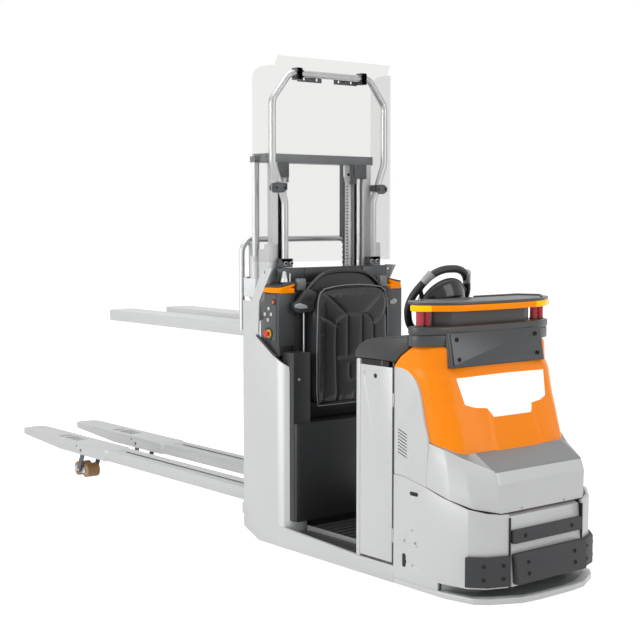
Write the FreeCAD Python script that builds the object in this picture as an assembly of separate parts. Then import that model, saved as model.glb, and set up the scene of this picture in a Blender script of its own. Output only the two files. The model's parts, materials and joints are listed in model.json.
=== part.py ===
"""Order picker truck with two long load arms, an initial lift and a two stage mast.

Millimetres. +X points to the drive end, +Y to the left, +Z up. The origin is on the
floor below the middle of the overall box. The truck stands with its initial lift up
and its mast about half way.
"""
import FreeCAD, Part
import math
import os

V = FreeCAD.Vector

# Overall
OVERALL_LENGTH = 4360.0
BODY_WIDTH = 800.0
FRONT = OVERALL_LENGTH / 2
TIP = -OVERALL_LENGTH / 2
SIDE = BODY_WIDTH / 2
SHEET = 8.0
RUN_GAP = 0.3
MOVE_GAP = 6.0

# Side towers and sills
TOWER_BACK = 504.0
TOWER_STRIP = 132.0
TOWER_TOP = 1194.0
TOWER_FRONT = TOWER_BACK + 360.0
TOWER_CORNER = 94.0
TOWER_RETURN = 115.0
TRAY_HIGH = TOWER_TOP - 177.0
TRAY_LOW = TRAY_HIGH - 144.0
WING_TOP = TOWER_TOP + 164.0
WING_WIDTH = 79.0
WING_LEAN = 105.0
WING_HOLE_RADIUS = 7.0
SILL_BOTTOM = 20.0
SILL_TOP = 120.0
SILL_TOP_BATTERY = 95.0
SILL_WIDTH = 15.0
SILL_BACK = TOWER_BACK + 124.0
CHASSIS_TOE = 51.0
GUIDE_LENGTH = 40.0
GUIDE_HEIGHT = 120.0
GUIDE_HEIGHTS = (200.0, 980.0)

# Platform
FLOOR_BACK = TOWER_BACK + 176.0
FLOOR_TOP = 98.0
FLOOR_THICK = 12.0
FLOOR_BEAM = 60.0
FLOOR_CROSS = 50.0
FLOOR_CLEAR = 15.0
MAT_HALF = SIDE - 100.0
MAT_THICK = 22.0
MAT_BACK = TOWER_FRONT + 27.0
RIB_COUNT = 9
RIB_HEIGHT = 4.0
RIB_HALF = 8.0
RIB_MARGIN = 20.0
EDGE_WIDTH = 5.0
EDGE_RISE = 8.0
STEP_HALF_GAP = MAT_HALF + 11.0
STEP_THICK = 10.0
STEP_SETBACK = 56.0

# Back rest side of the platform
PANEL_BACK = TOWER_BACK + 186.0
PANEL_FRONT = PANEL_BACK + 85.0
PANEL_BOTTOM = 620.0
PANEL_HALF_LOW = SIDE - 102.0
PANEL_STEP = TOWER_TOP + 72.0
PAD_FRONT = PANEL_FRONT + 101.0
PAD_HALF = SIDE - 180.0
PAD_TOP = TOWER_TOP + 56.0
PAD_BOTTOM = PANEL_BOTTOM + 70.0
PAD_CORNER = 50.0
BOW_RADIUS = 9.0
BOW_BEND = 14.0
BOW_TOP = PAD_TOP + 83.0
BOW_HALF = PAD_HALF + 5.0
BOW_GRIP_HALF = 97.0
HIP_BACK = PANEL_FRONT + 55.0
HIP_FRONT = PANEL_FRONT + 115.0
HIP_POST_X = PANEL_FRONT + 75.0
HIP_POST_Y = SIDE - 78.0
HIP_POST_RADIUS = 9.0
HIP_POST_TOP = PAD_TOP - 70.0
COVER_FRONT = TOWER_FRONT + 26.0
COVER_BOTTOM = 150.0
COVER_TOP = PANEL_BOTTOM
COVER_HALF = SIDE - 28.5
COLUMN_FRONT = TOWER_FRONT + 8.0
COLUMN_INNER = SIDE - 128.0
COLUMN_TOP = TRAY_LOW + 85.0

# Control pods
POD_BACK = PANEL_BACK - 18.0
POD_FRONT = PANEL_FRONT + 10.0
POD_INNER = PANEL_HALF_LOW + 10.0
POD_TOP = TOWER_TOP + 44.0
POD_LOW = TRAY_HIGH - 93.0
LAMP_HEIGHT = 25.0
BUTTON_RADIUS = 6.0
BUTTON_HEIGHT = 5.0
BUTTON_PITCH = 14.0
BUTTON_X = POD_BACK + 28.0
BUTTON_Z = POD_TOP - 103.0
STOP_RADIUS = 16.0
STOP_HEIGHT = 8.0
STOP_X = POD_BACK + 18.0
STOP_Z = POD_TOP - 186.0

# Guard frame and screen over the mast
TUBE_RADIUS = 17.0
TUBE_BEND = 60.0
FRAME_X = PANEL_BACK
FRAME_TOP = 2293.0
LEG_HALF = SIDE - 117.0
WAIST_HALF = SIDE - 85.0
WAIST_SHARE = 0.415
WAIST_Z = WING_TOP + WAIST_SHARE * (FRAME_TOP - WING_TOP)
UPRIGHT_HALF = SIDE - 43.0
CLAMP_HALF = LEG_HALF - 78.0
CLAMP_WIDTH = 32.0
BRACKET_THICK = 4.0
BRACKET_END = 40.0
BRACKET_HOLES = (70.0, 150.0)
BRACKET_HOLE_RADIUS = 7.0
SCREEN_X = FRAME_X + TUBE_RADIUS + 4.0
SCREEN_THICK = 4.0
SCREEN_HALF = SIDE - 18.0
SCREEN_BOTTOM = WING_TOP + 27.0
SCREEN_TOP = FRAME_TOP + 27.0
WING_REACH = 149.0
SCREEN_CORNER = 60.0
LIP_HEIGHT = 46.0
LIP_LEAN = 22.0
LIP_INSET = 24.0

# Drive compartment
DRIVE_BACK = FRONT - 572.0
SPLIT_Z = 497.0
SHELL_WALL = 10.0
SKIRT_TOP = 45.0
SKIRT_WIDTH = 30.0
SLIT_TOP = 80.0
SLIT_BACK = FRONT - 297.0
HOOD_TOP = 1058.0
PANEL_TOP = HOOD_TOP - 95.0
SHELL_GAP = 4.0
SPLIT_BACK = FRONT - 512.0
SPLIT_MIDDLE = FRONT - 369.0
SPLIT_FRONT = FRONT - 79.0
SPLIT_DROP_BACK = 29.0
SPLIT_DROP_FRONT = 83.0
BUMPER_HALF = SIDE - 177.0
BUMPER_BACK = FRONT - 185.0
BUMPER_FACE = FRONT - 71.0
BUMPER_EDGE = 370.0
BUMPER_TOP = BUMPER_EDGE + 11.0
BUMPER_SLOPE = 0.098
BUMPER_WALL = 12.0
PAD_THICK = 22.0
LOUVRE_COUNT = 8
LOUVRE_BACK = DRIVE_BACK + 27.0
LOUVRE_LENGTH = 55.0
LOUVRE_BOTTOM = 577.0
LOUVRE_PITCH = 14.0
LOUVRE_WIDTH = 5.0
LOUVRE_RISE = 20.0
LASHING_RADIUS = 13.0

# Battery compartment
BATTERY_BACK = DRIVE_BACK - 248.0
BATTERY_WALL = 12.0
POST_WIDTH = 25.0
POST_DEPTH = 40.0
DOOR_BOTTOM = SILL_TOP_BATTERY + 12.0
DOOR_TOP = HOOD_TOP - 102.0
DOOR_THICK = 15.0
DOOR_GAP = 3.0
BARREL_RADIUS = 3.8
BARREL_LENGTH = 60.0
BARREL_PLACES = (90.0, 680.0)
BATTERY_TOP = DOOR_TOP - 37.0
LID_BOTTOM = DOOR_TOP + 23.0
LID_TOP = LID_BOTTOM + 121.0
LID_BACK = BATTERY_BACK - 18.0
LID_FRONT = DRIVE_BACK + 82.0
LID_SLOPE = BATTERY_BACK + 57.0

# Console over the drive compartment
CONSOLE_BOTTOM = HOOD_TOP
CONSOLE_TOP = CONSOLE_BOTTOM + 83.0
PARTING_Z = CONSOLE_BOTTOM + 48.0
PARTING_GAP = 2.0
PARTING_DEPTH = 5.0
LOWER_INSET = 1.5
CHIN_BOTTOM = CONSOLE_BOTTOM - 93.0
CHIN_TOP = CONSOLE_TOP - 25.0
CHIN_LOW = FRONT - 334.0
CHIN_HIGH = FRONT - 364.0
CHIN_HALF = SIDE - 107.0
BADGE_THICK = 4.0
NECK_TOP = CONSOLE_TOP + 66.0
STRIP_TOP = NECK_TOP + 25.0
COUNTER_TOP = STRIP_TOP + 14.0
RIM_RISE = 7.0
RIM_WIDTH = 6.0
BEACON_RADIUS = 14.0
BEACON_X = FRONT - 452.0
BEACON_PLACES = (SIDE - 70.0, SIDE - 28.0)

# Steering ring
RING_X = BATTERY_BACK + 100.0
RING_Z = LID_TOP + 125.0
RING_RADIUS = 192.0
RING_TUBE = 16.0
RING_BEND = 60.0
RING_TILT = 60.0
RING_SIDES = 6
SPOKE_RADIUS = 9.0
SPOKE_TURNS = (30.0, -30.0, 180.0)
HUB_DROP = 30.0
HUB_RADIUS = 55.0
HUB_BALL = 60.0
COLUMN_RADIUS = 120.0
COLUMN_TOP_RADIUS = 70.0
COLUMN_LENGTH = 60.0

# Drive wheel and castor
DRIVE_X = FRONT - 320.0
DRIVE_Y = 140.0
DRIVE_RADIUS = 115.0
DRIVE_WIDTH = 75.0
DRIVE_SHAFT = 25.0
RIM_RADIUS = 62.0
RIM_DEPTH = 13.0
MOUNT_Z = 360.0
MOUNT_THICK = 12.0
MOTOR_RADIUS = 100.0
MOTOR_TOP = MOUNT_Z + 180.0
TURN_RING = 35.0
TURN_RING_RADIUS = 118.0
GEAR_HALF = 55.0
GEAR_THICK = 48.0
CASTOR_X = FRONT - 380.0
CASTOR_Y = 160.0 - SIDE
CASTOR_TRAIL = 45.0
CASTOR_RADIUS = 70.0
CASTOR_WIDTH = 30.0
CASTOR_LEG = 16.0
CASTOR_HEAD = CASTOR_RADIUS * 2 + 60.0
CASTOR_PLATE = 18.0
CASTOR_PIN = 10.0
CASTOR_RECESS = 5.0

# Load arms and their rollers
ARM_Y = 195.0
PADDLE_WIDTH = 170.0
ARM_WIDTH = 137.0
PADDLE_BACK = TIP + 1115.0
ARM_TOP = 215.0
ARM_DEPTH = 65.0
ARM_PLATE = 8.0
ARM_WALL = 10.0
ARM_END = TOWER_BACK - 74.0
NOSE_LENGTH = 230.0
TAPER_LENGTH = 540.0
TIP_THICK = 28.0
ARM_WINDOWS = ((522.0, 684.5), (445.0, 490.0))
WINDOW_HALF = 43.0
GROOVE_HALF = 30.0
GROOVE_DEPTH = 2.5
LINK_X = TIP + 805.0
LINK_Z = 175.0
LINK_LENGTH = 150.0
LINK_THICK = 8.0
LINK_INNER = 57.0
LINK_HALF = 18.0
BOGIE_INNER = 45.0
BOGIE_THICK = 7.0
BOGIE_PIN = 8.0
ROLLER_RADIUS = 42.5
ROLLER_HALF = 39.5
ROLLER_SPACING = 93.0
ROLLER_PIN = 10.0

# Mast
MAST_BACK = TOWER_BACK + 76.0
MAST_FRONT = MAST_BACK + 83.0
MAST_HALF = SIDE - 40.0
MAST_WEB = 8.0
MAST_FLANGE = 10.0
MAST_LIP = 55.0
MAST_TOP = WING_TOP + 112.0
BASE_BACK = MAST_BACK - 118.0
BASE_BOTTOM = ARM_TOP - 90.0
BASE_TOP = ARM_TOP - 37.0
BASE_HALF = MAST_HALF + 20.0
BEAM_SEAT = MAST_TOP - 25.0
INNER_BACK = MAST_BACK - 5.0
INNER_FRONT = MAST_FRONT - 8.0
INNER_HALF = MAST_HALF - 60.0
INNER_BOTTOM = 600.0
BEAM_BACK = MAST_BACK - 65.0
BEAM_FRONT = MAST_BACK + 42.0
BEAM_HALF = MAST_HALF - 19.0
BEAM_BOTTOM = INNER_BOTTOM + 1266.0
BEAM_TOP = BEAM_BOTTOM + 43.0
CYL_X = MAST_BACK - 35.0
CYL_Y = MAST_HALF - 10.0
CYL_RADIUS = 27.5
CYL_TOP = MAST_TOP - 60.0
CYL_BORE_BOTTOM = INNER_BOTTOM - 40.0
ROD_RADIUS = 18.0
ROD_BOTTOM = INNER_BOTTOM + 400.0
CLAMP_BOTTOM = CYL_TOP - 200.0
CLAMP_HEIGHT = 90.0
CLAMP_BACK = MAST_BACK - 96.0
CHAIN_X = MAST_BACK - 34.0
CHAIN_Y = INNER_HALF - 70.0
CHAIN_THICK = 12.0
CHAIN_WIDTH = 15.0
LINK_PITCH = 26.0
LINK_END = 50.0
LINK_PROUD = 2.0
PULLEY_RADIUS = 10.0
CHAIN_TOP = BEAM_BOTTOM - 76.0
CHAIN_BOTTOM = INNER_BOTTOM + 60.0
GUSSET_DROP = 96.0
GUSSET_WIDTH = 38.0

# Fork carriage, upper forks and load guard
PLATE_BACK = MAST_BACK - 120.0
PLATE_THICK = 45.0
PLATE_HALF = INNER_HALF + 10.0
PLATE_BOTTOM = INNER_BOTTOM + 420.0
PLATE_TOP = PLATE_BOTTOM + 315.0
HANGER_INNER = INNER_HALF - 130.0
HANGER_THICK = 35.0
HANGER_FRONT = MAST_BACK + 64.0
FORK_TIP = TIP + 1153.0
FORK_TOP = PLATE_BOTTOM + 40.0
FORK_DEPTH = 60.0
FORK_PLATE = 10.0
FORK_WALL = 10.0
FORK_ROOT = 95.0
FORK_ROOT_STEP = 2.0
GUARD_X = PLATE_BACK - 40.0
GUARD_HALF = MAST_HALF - 15.0
GUARD_TOP = PLATE_TOP + 155.0
GUARD_RADIUS = 15.0
GUARD_BEND = 70.0

NODES = {}


def box(x0, x1, y0, y1, z0, z1):
    """A block between two corners."""
    return Part.makeBox(x1 - x0, y1 - y0, z1 - z0, V(x0, y0, z0))


def cylinder(x, y, z, radius, length, axis):
    """A round bar that starts at a point and runs along an axis."""
    return Part.makeCylinder(radius, length, V(x, y, z), axis)


def prism(points, vector):
    """A closed polygon of points, swept along a vector."""
    ring = Part.makePolygon(points + points[:1])
    return Part.Face(ring).extrude(vector)


def side_prism(rows, y0, y1):
    """An outline of (x, z) rows, between two values of y."""
    return prism([V(x, y0, z) for x, z in rows], V(0, y1 - y0, 0))


def plan_prism(rows, z0, z1):
    """An outline of (x, y) rows, between two heights."""
    return prism([V(x, y, z0) for x, y in rows], V(0, 0, z1 - z0))


def mirrored(shape):
    """The same shape on the other side of the truck."""
    return shape.mirror(V(0, 0, 0), V(0, 1, 0))


def fused(shapes):
    """Several shapes joined into one."""
    return shapes[0].multiFuse(shapes[1:]).removeSplitter()


def main_body(shape):
    """The largest solid of a cut, without its thin offcuts."""
    return max(shape.Solids, key=lambda solid: solid.Volume)


def pair(shape):
    """A shape and its mirror image, apart in one compound."""
    return Part.makeCompound([shape, mirrored(shape)])


def bent_tube(points, radius, bend):
    """A round tube along straight runs with an arc at each inner point."""
    edges = []
    start = points[0]
    for before, corner, after in zip(points, points[1:], points[2:]):
        arrive = (corner - before).normalize()
        leave = (after - corner).normalize()
        turn = arrive.getAngle(leave)
        setback = bend * math.tan(turn / 2)
        enter = corner - arrive * setback
        exit_point = corner + leave * setback
        middle = (leave - arrive).normalize()
        centre = corner + middle * (bend / math.cos(turn / 2))
        mid_arc = centre - middle * bend
        edges.append(Part.LineSegment(start, enter).toShape())
        edges.append(Part.Arc(enter, mid_arc, exit_point).toShape())
        start = exit_point
    edges.append(Part.LineSegment(start, points[-1]).toShape())
    first = (points[1] - points[0]).normalize()
    section = Part.Face(Part.Wire(Part.makeCircle(radius, points[0], first)))
    return Part.Wire(edges).makePipe(section)


def half_plan(rows, wall=0.0):
    """Both sides of a plan from (x, y) rows that run from the side to the front."""
    left = [(x - wall, y - wall) for x, y in rows]
    right = [(x, -y) for x, y in reversed(left)]
    return left + right


def ruled_body(sections, back, wall=0.0):
    """A body through plans at several heights, each (z, (x, y) rows), closed at the back."""
    wires = []
    for z, rows in sections:
        outline = half_plan([(back + wall, rows[0][1])] + rows, wall)
        points = [V(x, y, z) for x, y in outline]
        wires.append(Part.makePolygon(points + points[:1]))
    return Part.makeLoft(wires, True, True)


def node(name, shape):
    """Keep a finished piece under its name."""
    NODES[name] = shape


def side_frames():
    """The two towers beside the mast, each one sheet with its sill and wing bracket."""
    strip_front = TOWER_BACK + TOWER_STRIP
    wing_front = strip_front + WING_LEAN
    outline = [
        (TOWER_BACK, SILL_BOTTOM + CHASSIS_TOE),
        (SILL_BACK, SILL_BOTTOM),
        (TOWER_FRONT, SILL_BOTTOM),
        (TOWER_FRONT, TRAY_LOW),
        (strip_front - 10.0, TRAY_HIGH),
        (strip_front, TOWER_TOP),
        (wing_front, WING_TOP),
        (wing_front - WING_WIDTH, WING_TOP),
        (strip_front - 56.0, TOWER_TOP),
        (TOWER_BACK, TOWER_TOP),
    ]
    inner = SIDE - TOWER_RETURN
    corner_x = TOWER_FRONT - TOWER_CORNER
    corner_y = SIDE - TOWER_CORNER
    band = fused([
        box(TOWER_BACK, corner_x, inner, SIDE, SILL_BOTTOM, WING_TOP),
        box(corner_x, TOWER_FRONT, inner, corner_y, SILL_BOTTOM, WING_TOP),
        cylinder(corner_x, corner_y, SILL_BOTTOM, TOWER_CORNER, WING_TOP - SILL_BOTTOM, V(0, 0, 1)),
    ])
    hollow_y = SIDE - SHEET
    hollow = fused([
        box(TOWER_BACK - 1.0, corner_x, inner - 1.0, hollow_y, 0.0, WING_TOP + 1.0),
        box(corner_x - 1.0, TOWER_FRONT - SHEET, inner - 1.0, corner_y, 0.0, WING_TOP + 1.0),
        cylinder(corner_x, corner_y, 0.0, TOWER_CORNER - SHEET, WING_TOP + 1.0, V(0, 0, 1)),
    ])
    sheet = band.cut(hollow).common(side_prism(outline, inner, SIDE))
    hole = cylinder(wing_front - 58.0, inner, WING_TOP - 22.0, WING_HOLE_RADIUS, TOWER_RETURN, V(0, 1, 0))
    sill_rows = [
        (SILL_BACK, SILL_BOTTOM),
        (DRIVE_BACK, SILL_BOTTOM),
        (DRIVE_BACK, SILL_TOP_BATTERY),
        (BATTERY_BACK, SILL_TOP_BATTERY),
        (TOWER_FRONT - TOWER_CORNER, SILL_TOP),
        (SILL_BACK, SILL_TOP),
    ]
    sill = side_prism(sill_rows, SIDE - SILL_WIDTH, SIDE)
    guide_back = MAST_BACK + 20.0
    guides = []
    for z in GUIDE_HEIGHTS:
        guides.append(box(guide_back, guide_back + GUIDE_LENGTH, MAST_HALF + RUN_GAP, SIDE - SHEET,
                          z, z + GUIDE_HEIGHT))
    left = fused([sheet.cut(hole), sill] + guides)
    node("side_frames", pair(left))


def platform():
    """Floor pan with beams, the ribbed mat and the two step mats."""
    half = SIDE - SILL_WIDTH
    bottom = FLOOR_TOP - FLOOR_THICK
    pieces = [box(FLOOR_BACK, BATTERY_BACK, -half, half, bottom, FLOOR_TOP)]
    low = SILL_BOTTOM + FLOOR_CLEAR
    for y in (-half, half - FLOOR_BEAM):
        pieces.append(box(FLOOR_BACK, BATTERY_BACK, y, y + FLOOR_BEAM, low, bottom))
    for x in (FLOOR_BACK, BATTERY_BACK - FLOOR_CROSS):
        pieces.append(box(x, x + FLOOR_CROSS, -half, half, low, bottom))
    node("floor_frame", fused(pieces).cut(NODES["side_frames"]))
    mat = [box(MAT_BACK, BATTERY_BACK, -MAT_HALF, MAT_HALF, FLOOR_TOP, FLOOR_TOP + MAT_THICK)]
    pitch = (BATTERY_BACK - MAT_BACK) / (RIB_COUNT + 1)
    for index in range(RIB_COUNT):
        x = MAT_BACK + pitch * (index + 1)
        top = FLOOR_TOP + MAT_THICK
        mat.append(box(x - RIB_HALF, x + RIB_HALF, RIB_MARGIN - MAT_HALF, MAT_HALF - RIB_MARGIN,
                       top, top + RIB_HEIGHT))
    strip = box(MAT_BACK, BATTERY_BACK, MAT_HALF, MAT_HALF + EDGE_WIDTH, FLOOR_TOP,
                FLOOR_TOP + MAT_THICK + EDGE_RISE)
    node("floor_edges", pair(strip))
    step = box(TOWER_FRONT + STEP_SETBACK, BATTERY_BACK - 10.0, STEP_HALF_GAP, half, FLOOR_TOP,
               FLOOR_TOP + STEP_THICK)
    node("floor_mats", Part.makeCompound([fused(mat), step, mirrored(step)]))


def back_rest():
    """Panel behind the operator, the pad, its bow, the hip supports and the cover below."""
    low = box(PANEL_BACK, PANEL_FRONT, -PANEL_HALF_LOW, PANEL_HALF_LOW, PANEL_BOTTOM, PANEL_STEP)
    half = SIDE - SHEET
    high = box(PANEL_BACK, PANEL_FRONT, -half, half, PANEL_STEP, WING_TOP)
    node("back_panel", fused([low, high]))
    pad = box(PANEL_FRONT + RUN_GAP, PAD_FRONT, -PAD_HALF, PAD_HALF, PAD_BOTTOM, PAD_TOP)
    upright = [edge for edge in pad.Edges if abs(edge.tangentAt(edge.FirstParameter).x) > 0.9]
    node("back_pad", pad.makeFillet(PAD_CORNER, upright))
    bow_rows = [
        (PANEL_FRONT, BOW_HALF, PAD_TOP + 6.0),
        (PANEL_FRONT + 25.0, BOW_HALF, PAD_TOP + 18.0),
        (PANEL_FRONT + 57.0, BOW_GRIP_HALF, BOW_TOP),
        (PANEL_FRONT + 57.0, -BOW_GRIP_HALF, BOW_TOP),
        (PANEL_FRONT + 25.0, -BOW_HALF, PAD_TOP + 18.0),
        (PANEL_FRONT, -BOW_HALF, PAD_TOP + 6.0),
    ]
    bow = bent_tube([V(*row) for row in bow_rows], BOW_RADIUS, BOW_BEND)
    node("pad_bow", bow.cut(NODES["back_panel"]))
    # Hip wing seen from the platform: (inside the side, below the top of the pad)
    wing_rows = [(100.0, -8.0), (168.0, 10.0), (148.0, 82.0), (124.0, 94.0), (28.0, 84.0), (20.0, 46.0)]
    wing = prism([V(HIP_BACK, SIDE - inside, PAD_TOP - below) for inside, below in wing_rows],
                 V(HIP_FRONT - HIP_BACK, 0, 0))
    post_length = HIP_POST_TOP - COLUMN_TOP
    post = cylinder(HIP_POST_X, HIP_POST_Y, COLUMN_TOP, HIP_POST_RADIUS, post_length, V(0, 0, 1))
    node("hip_supports", pair(fused([wing, post])))
    node("lower_cover", main_body(fused(cover_pieces()).cut(NODES["side_frames"])))


def cover_pieces():
    """The cover below the pad and the columns that close the towers' front edges."""
    corner_x = TOWER_FRONT - TOWER_CORNER
    corner_y = SIDE - TOWER_CORNER
    middle = TOWER_CORNER - SHEET / 2
    bend = []
    for degrees in (88.0, 74.0, 60.0, 46.0):
        turn = math.radians(degrees)
        bend.append((corner_x + middle * math.sin(turn), corner_y + middle * math.cos(turn)))
    edge = bend + [(TOWER_FRONT - 22.0, COVER_HALF), (COLUMN_FRONT, COVER_HALF), (COLUMN_FRONT, corner_y)]
    face = [
        (COLUMN_FRONT - 4.0, COVER_HALF),
        (COVER_FRONT - 6.0, COVER_HALF - 8.0),
        (COVER_FRONT, COVER_HALF - 28.0),
    ]
    inner = SIDE - TOWER_RETURN - 20.0
    pieces = [
        plan_prism(half_plan([(TOWER_FRONT, COVER_HALF)] + face), COVER_BOTTOM, COVER_TOP),
        box(FLOOR_BACK + 20.0, TOWER_FRONT, -inner, inner, FLOOR_TOP, COVER_TOP),
    ]
    halves = [
        plan_prism(edge, COVER_BOTTOM, TRAY_LOW),
        box(TOWER_FRONT, COLUMN_FRONT, COLUMN_INNER, COVER_HALF - 20.0, COVER_TOP, TRAY_LOW),
        box(PANEL_FRONT, COLUMN_FRONT, COLUMN_INNER, COLUMN_INNER + 12.0, COVER_TOP - 10.0, COLUMN_TOP),
        box(POD_FRONT + 2.0, COLUMN_FRONT, COLUMN_INNER, COVER_HALF, TRAY_LOW, COLUMN_TOP),
    ]
    return pieces + halves + [mirrored(shape) for shape in halves]


def control_pods():
    """The two consoles beside the operator with their lamps and buttons."""
    outer = SIDE - SHEET - RUN_GAP
    rows = [
        (POD_BACK, POD_LOW + 61.0),
        (POD_FRONT - 29.0, POD_LOW),
        (POD_FRONT, POD_LOW + 16.0),
        (POD_FRONT, POD_TOP),
        (POD_BACK, POD_TOP),
    ]
    pod = side_prism(rows, POD_INNER, outer).cut(box(
        PANEL_BACK, PANEL_FRONT, 0.0, PANEL_HALF_LOW, PANEL_BOTTOM, PANEL_STEP))
    node("control_pods", pair(pod))
    lamp_rows = [
        (POD_BACK, outer),
        (POD_BACK, POD_INNER),
        (POD_FRONT + 15.0, POD_INNER),
        (POD_FRONT + 6.0, outer),
    ]
    lamp = plan_prism(lamp_rows, POD_TOP, POD_TOP + LAMP_HEIGHT)
    node("pod_lamps", pair(lamp))
    buttons = []
    for right, up in ((1, 0), (0, 1), (-1, 0), (0, -1)):
        buttons.append(cylinder(BUTTON_X + right * BUTTON_PITCH, -outer, BUTTON_Z + up * BUTTON_PITCH,
                                BUTTON_RADIUS, BUTTON_HEIGHT, V(0, -1, 0)))
    buttons.append(cylinder(STOP_X, -outer, STOP_Z, STOP_RADIUS, STOP_HEIGHT, V(0, -1, 0)))
    node("pod_buttons", Part.makeCompound(buttons))


def guard():
    """Tube frame, its clamps and the clear screen with its wings and lip."""
    half = [
        (LEG_HALF, WING_TOP),
        (LEG_HALF, WAIST_Z - 70.0),
        (WAIST_HALF + 12.0, WAIST_Z + 45.0),
        (UPRIGHT_HALF, WAIST_Z + 120.0),
        (UPRIGHT_HALF, FRAME_TOP - 130.0),
        (UPRIGHT_HALF - 105.0, FRAME_TOP),
    ]
    rows = half + [(-y, z) for y, z in reversed(half)]
    points = [V(FRAME_X, y, z) for y, z in rows]
    node("guard_frame", bent_tube(points, TUBE_RADIUS, TUBE_BEND))
    block_back = FRAME_X - TUBE_RADIUS - 6.0
    pieces = []
    for y, z, height in ((LEG_HALF, WING_TOP, 42.0), (WAIST_HALF, WAIST_Z - 15.0, 32.0)):
        pieces.append(box(block_back, SCREEN_X, y - CLAMP_WIDTH, y + CLAMP_WIDTH, z, z + height))
    half_clamp = CLAMP_WIDTH / 2
    top = box(block_back, SCREEN_X, CLAMP_HALF - half_clamp, CLAMP_HALF + half_clamp, FRAME_TOP - 30.0,
              FRAME_TOP + 26.0)
    plate = box(FRAME_X - TUBE_RADIUS - BRACKET_THICK, FRAME_X - TUBE_RADIUS, BRACKET_END,
                CLAMP_HALF - half_clamp, FRAME_TOP - 36.0, FRAME_TOP + 4.0)
    for y in BRACKET_HOLES:
        hole = cylinder(FRAME_X - 40.0, y, FRAME_TOP - 22.0, BRACKET_HOLE_RADIUS, 60.0, V(1, 0, 0))
        plate = plate.cut(hole)
    pieces += [top, plate]
    frame = NODES["guard_frame"]
    left = [piece.cut(frame) for piece in pieces]
    foot_and_waist = fused(left[:1] + left[2:])
    node("guard_clamps", Part.makeCompound([left[1], mirrored(left[1]), foot_and_waist,
                                            mirrored(foot_and_waist)]))
    outer = SCREEN_HALF
    sheet = box(SCREEN_X, SCREEN_X + SCREEN_THICK, -outer, outer, SCREEN_BOTTOM, SCREEN_TOP)
    reach = SCREEN_X - WING_REACH
    wing = box(reach, SCREEN_X, outer - SCREEN_THICK, outer, SCREEN_BOTTOM, SCREEN_TOP)
    rear = [edge for edge in wing.Edges
            if edge.BoundBox.YLength > 1.0 and edge.CenterOfMass.x < reach + 1.0
            and edge.CenterOfMass.z > SCREEN_TOP - 1.0]
    wing = wing.makeFillet(SCREEN_CORNER, rear)
    lip_rows = [
        (SCREEN_X, SCREEN_TOP),
        (SCREEN_X + SCREEN_THICK, SCREEN_TOP),
        (SCREEN_X + SCREEN_THICK + LIP_LEAN, SCREEN_TOP + LIP_HEIGHT),
        (SCREEN_X + LIP_LEAN, SCREEN_TOP + LIP_HEIGHT),
    ]
    lip = side_prism(lip_rows, LIP_INSET - outer, outer - LIP_INSET)
    node("guard_screen", fused([sheet, wing, mirrored(wing), lip]))


def battery_box():
    """Posts, walls, doors, lid and the battery block."""
    post_bottom = SILL_TOP_BATTERY
    wall_front = BATTERY_BACK + BATTERY_WALL
    wall = box(BATTERY_BACK, wall_front, -SIDE, SIDE, post_bottom, LID_BOTTOM)
    half = SIDE - SILL_WIDTH
    low = SILL_BOTTOM + FLOOR_CLEAR
    tray = box(wall_front, DRIVE_BACK - SHEET, -half, half, low, SILL_TOP_BATTERY)
    post = box(wall_front, BATTERY_BACK + POST_WIDTH, SIDE - POST_DEPTH, SIDE, post_bottom, LID_BOTTOM)
    sill_step = box(BATTERY_BACK, wall_front, -half, half, low, post_bottom)
    node("battery_frame", fused([wall, tray, post, mirrored(post), sill_step]))
    inner = SIDE - 45.0
    block = box(BATTERY_BACK + 30.0, DRIVE_BACK - 20.0, -inner, inner, SILL_TOP_BATTERY, BATTERY_TOP)
    node("battery_block", block)
    door_x0 = BATTERY_BACK + POST_WIDTH + DOOR_GAP
    door_x1 = DRIVE_BACK - 11.0
    hinge_x = DRIVE_BACK - 5.5
    hinge_y = SIDE - 4.0
    door = [box(door_x0, door_x1, SIDE - DOOR_THICK, SIDE, DOOR_BOTTOM, DOOR_TOP)]
    for place in BARREL_PLACES:
        z = DOOR_BOTTOM + place
        door.append(cylinder(hinge_x, hinge_y, z, BARREL_RADIUS, BARREL_LENGTH, V(0, 0, 1)))
        door.append(box(door_x1 - 1.0, hinge_x, hinge_y - 1.5, hinge_y + 1.5, z, z + BARREL_LENGTH))
    lock = cylinder(door_x0 + 30.0, SIDE - 3.0, DOOR_TOP - 40.0, 9.0, 4.0, V(0, 1, 0))
    left = fused(door).cut(lock)
    node("battery_door_left", left)
    node("battery_door_right", mirrored(left))
    node("compartment_lid", lid_prism(SIDE - 5.0))


def lid_prism(half):
    """The dark lid, whose front end leans over the hood's rear corner."""
    rows = [
        (LID_BACK, LID_BOTTOM),
        (DRIVE_BACK, LID_BOTTOM),
        (DRIVE_BACK + 35.0, HOOD_TOP - 43.0),
        (LID_FRONT, HOOD_TOP - 14.0),
        (LID_FRONT, LID_TOP),
        (LID_SLOPE + 90.0, LID_TOP - 18.0),
        (LID_SLOPE, LID_TOP - 34.0),
        (LID_SLOPE - 42.0, LID_TOP - 55.0),
        (LID_BACK, LID_TOP - 86.0),
    ]
    return side_prism(rows, -half, half)


def shell_top(x):
    """Height of the parting line between the lower shell and the covers above it."""
    if x <= SPLIT_BACK:
        return SPLIT_Z
    middle_z = SPLIT_Z - SPLIT_DROP_BACK
    if x <= SPLIT_MIDDLE:
        return SPLIT_Z - SPLIT_DROP_BACK * (x - SPLIT_BACK) / (SPLIT_MIDDLE - SPLIT_BACK)
    return middle_z - SPLIT_DROP_FRONT * (x - SPLIT_MIDDLE) / (SPLIT_FRONT - SPLIT_MIDDLE)


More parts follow.
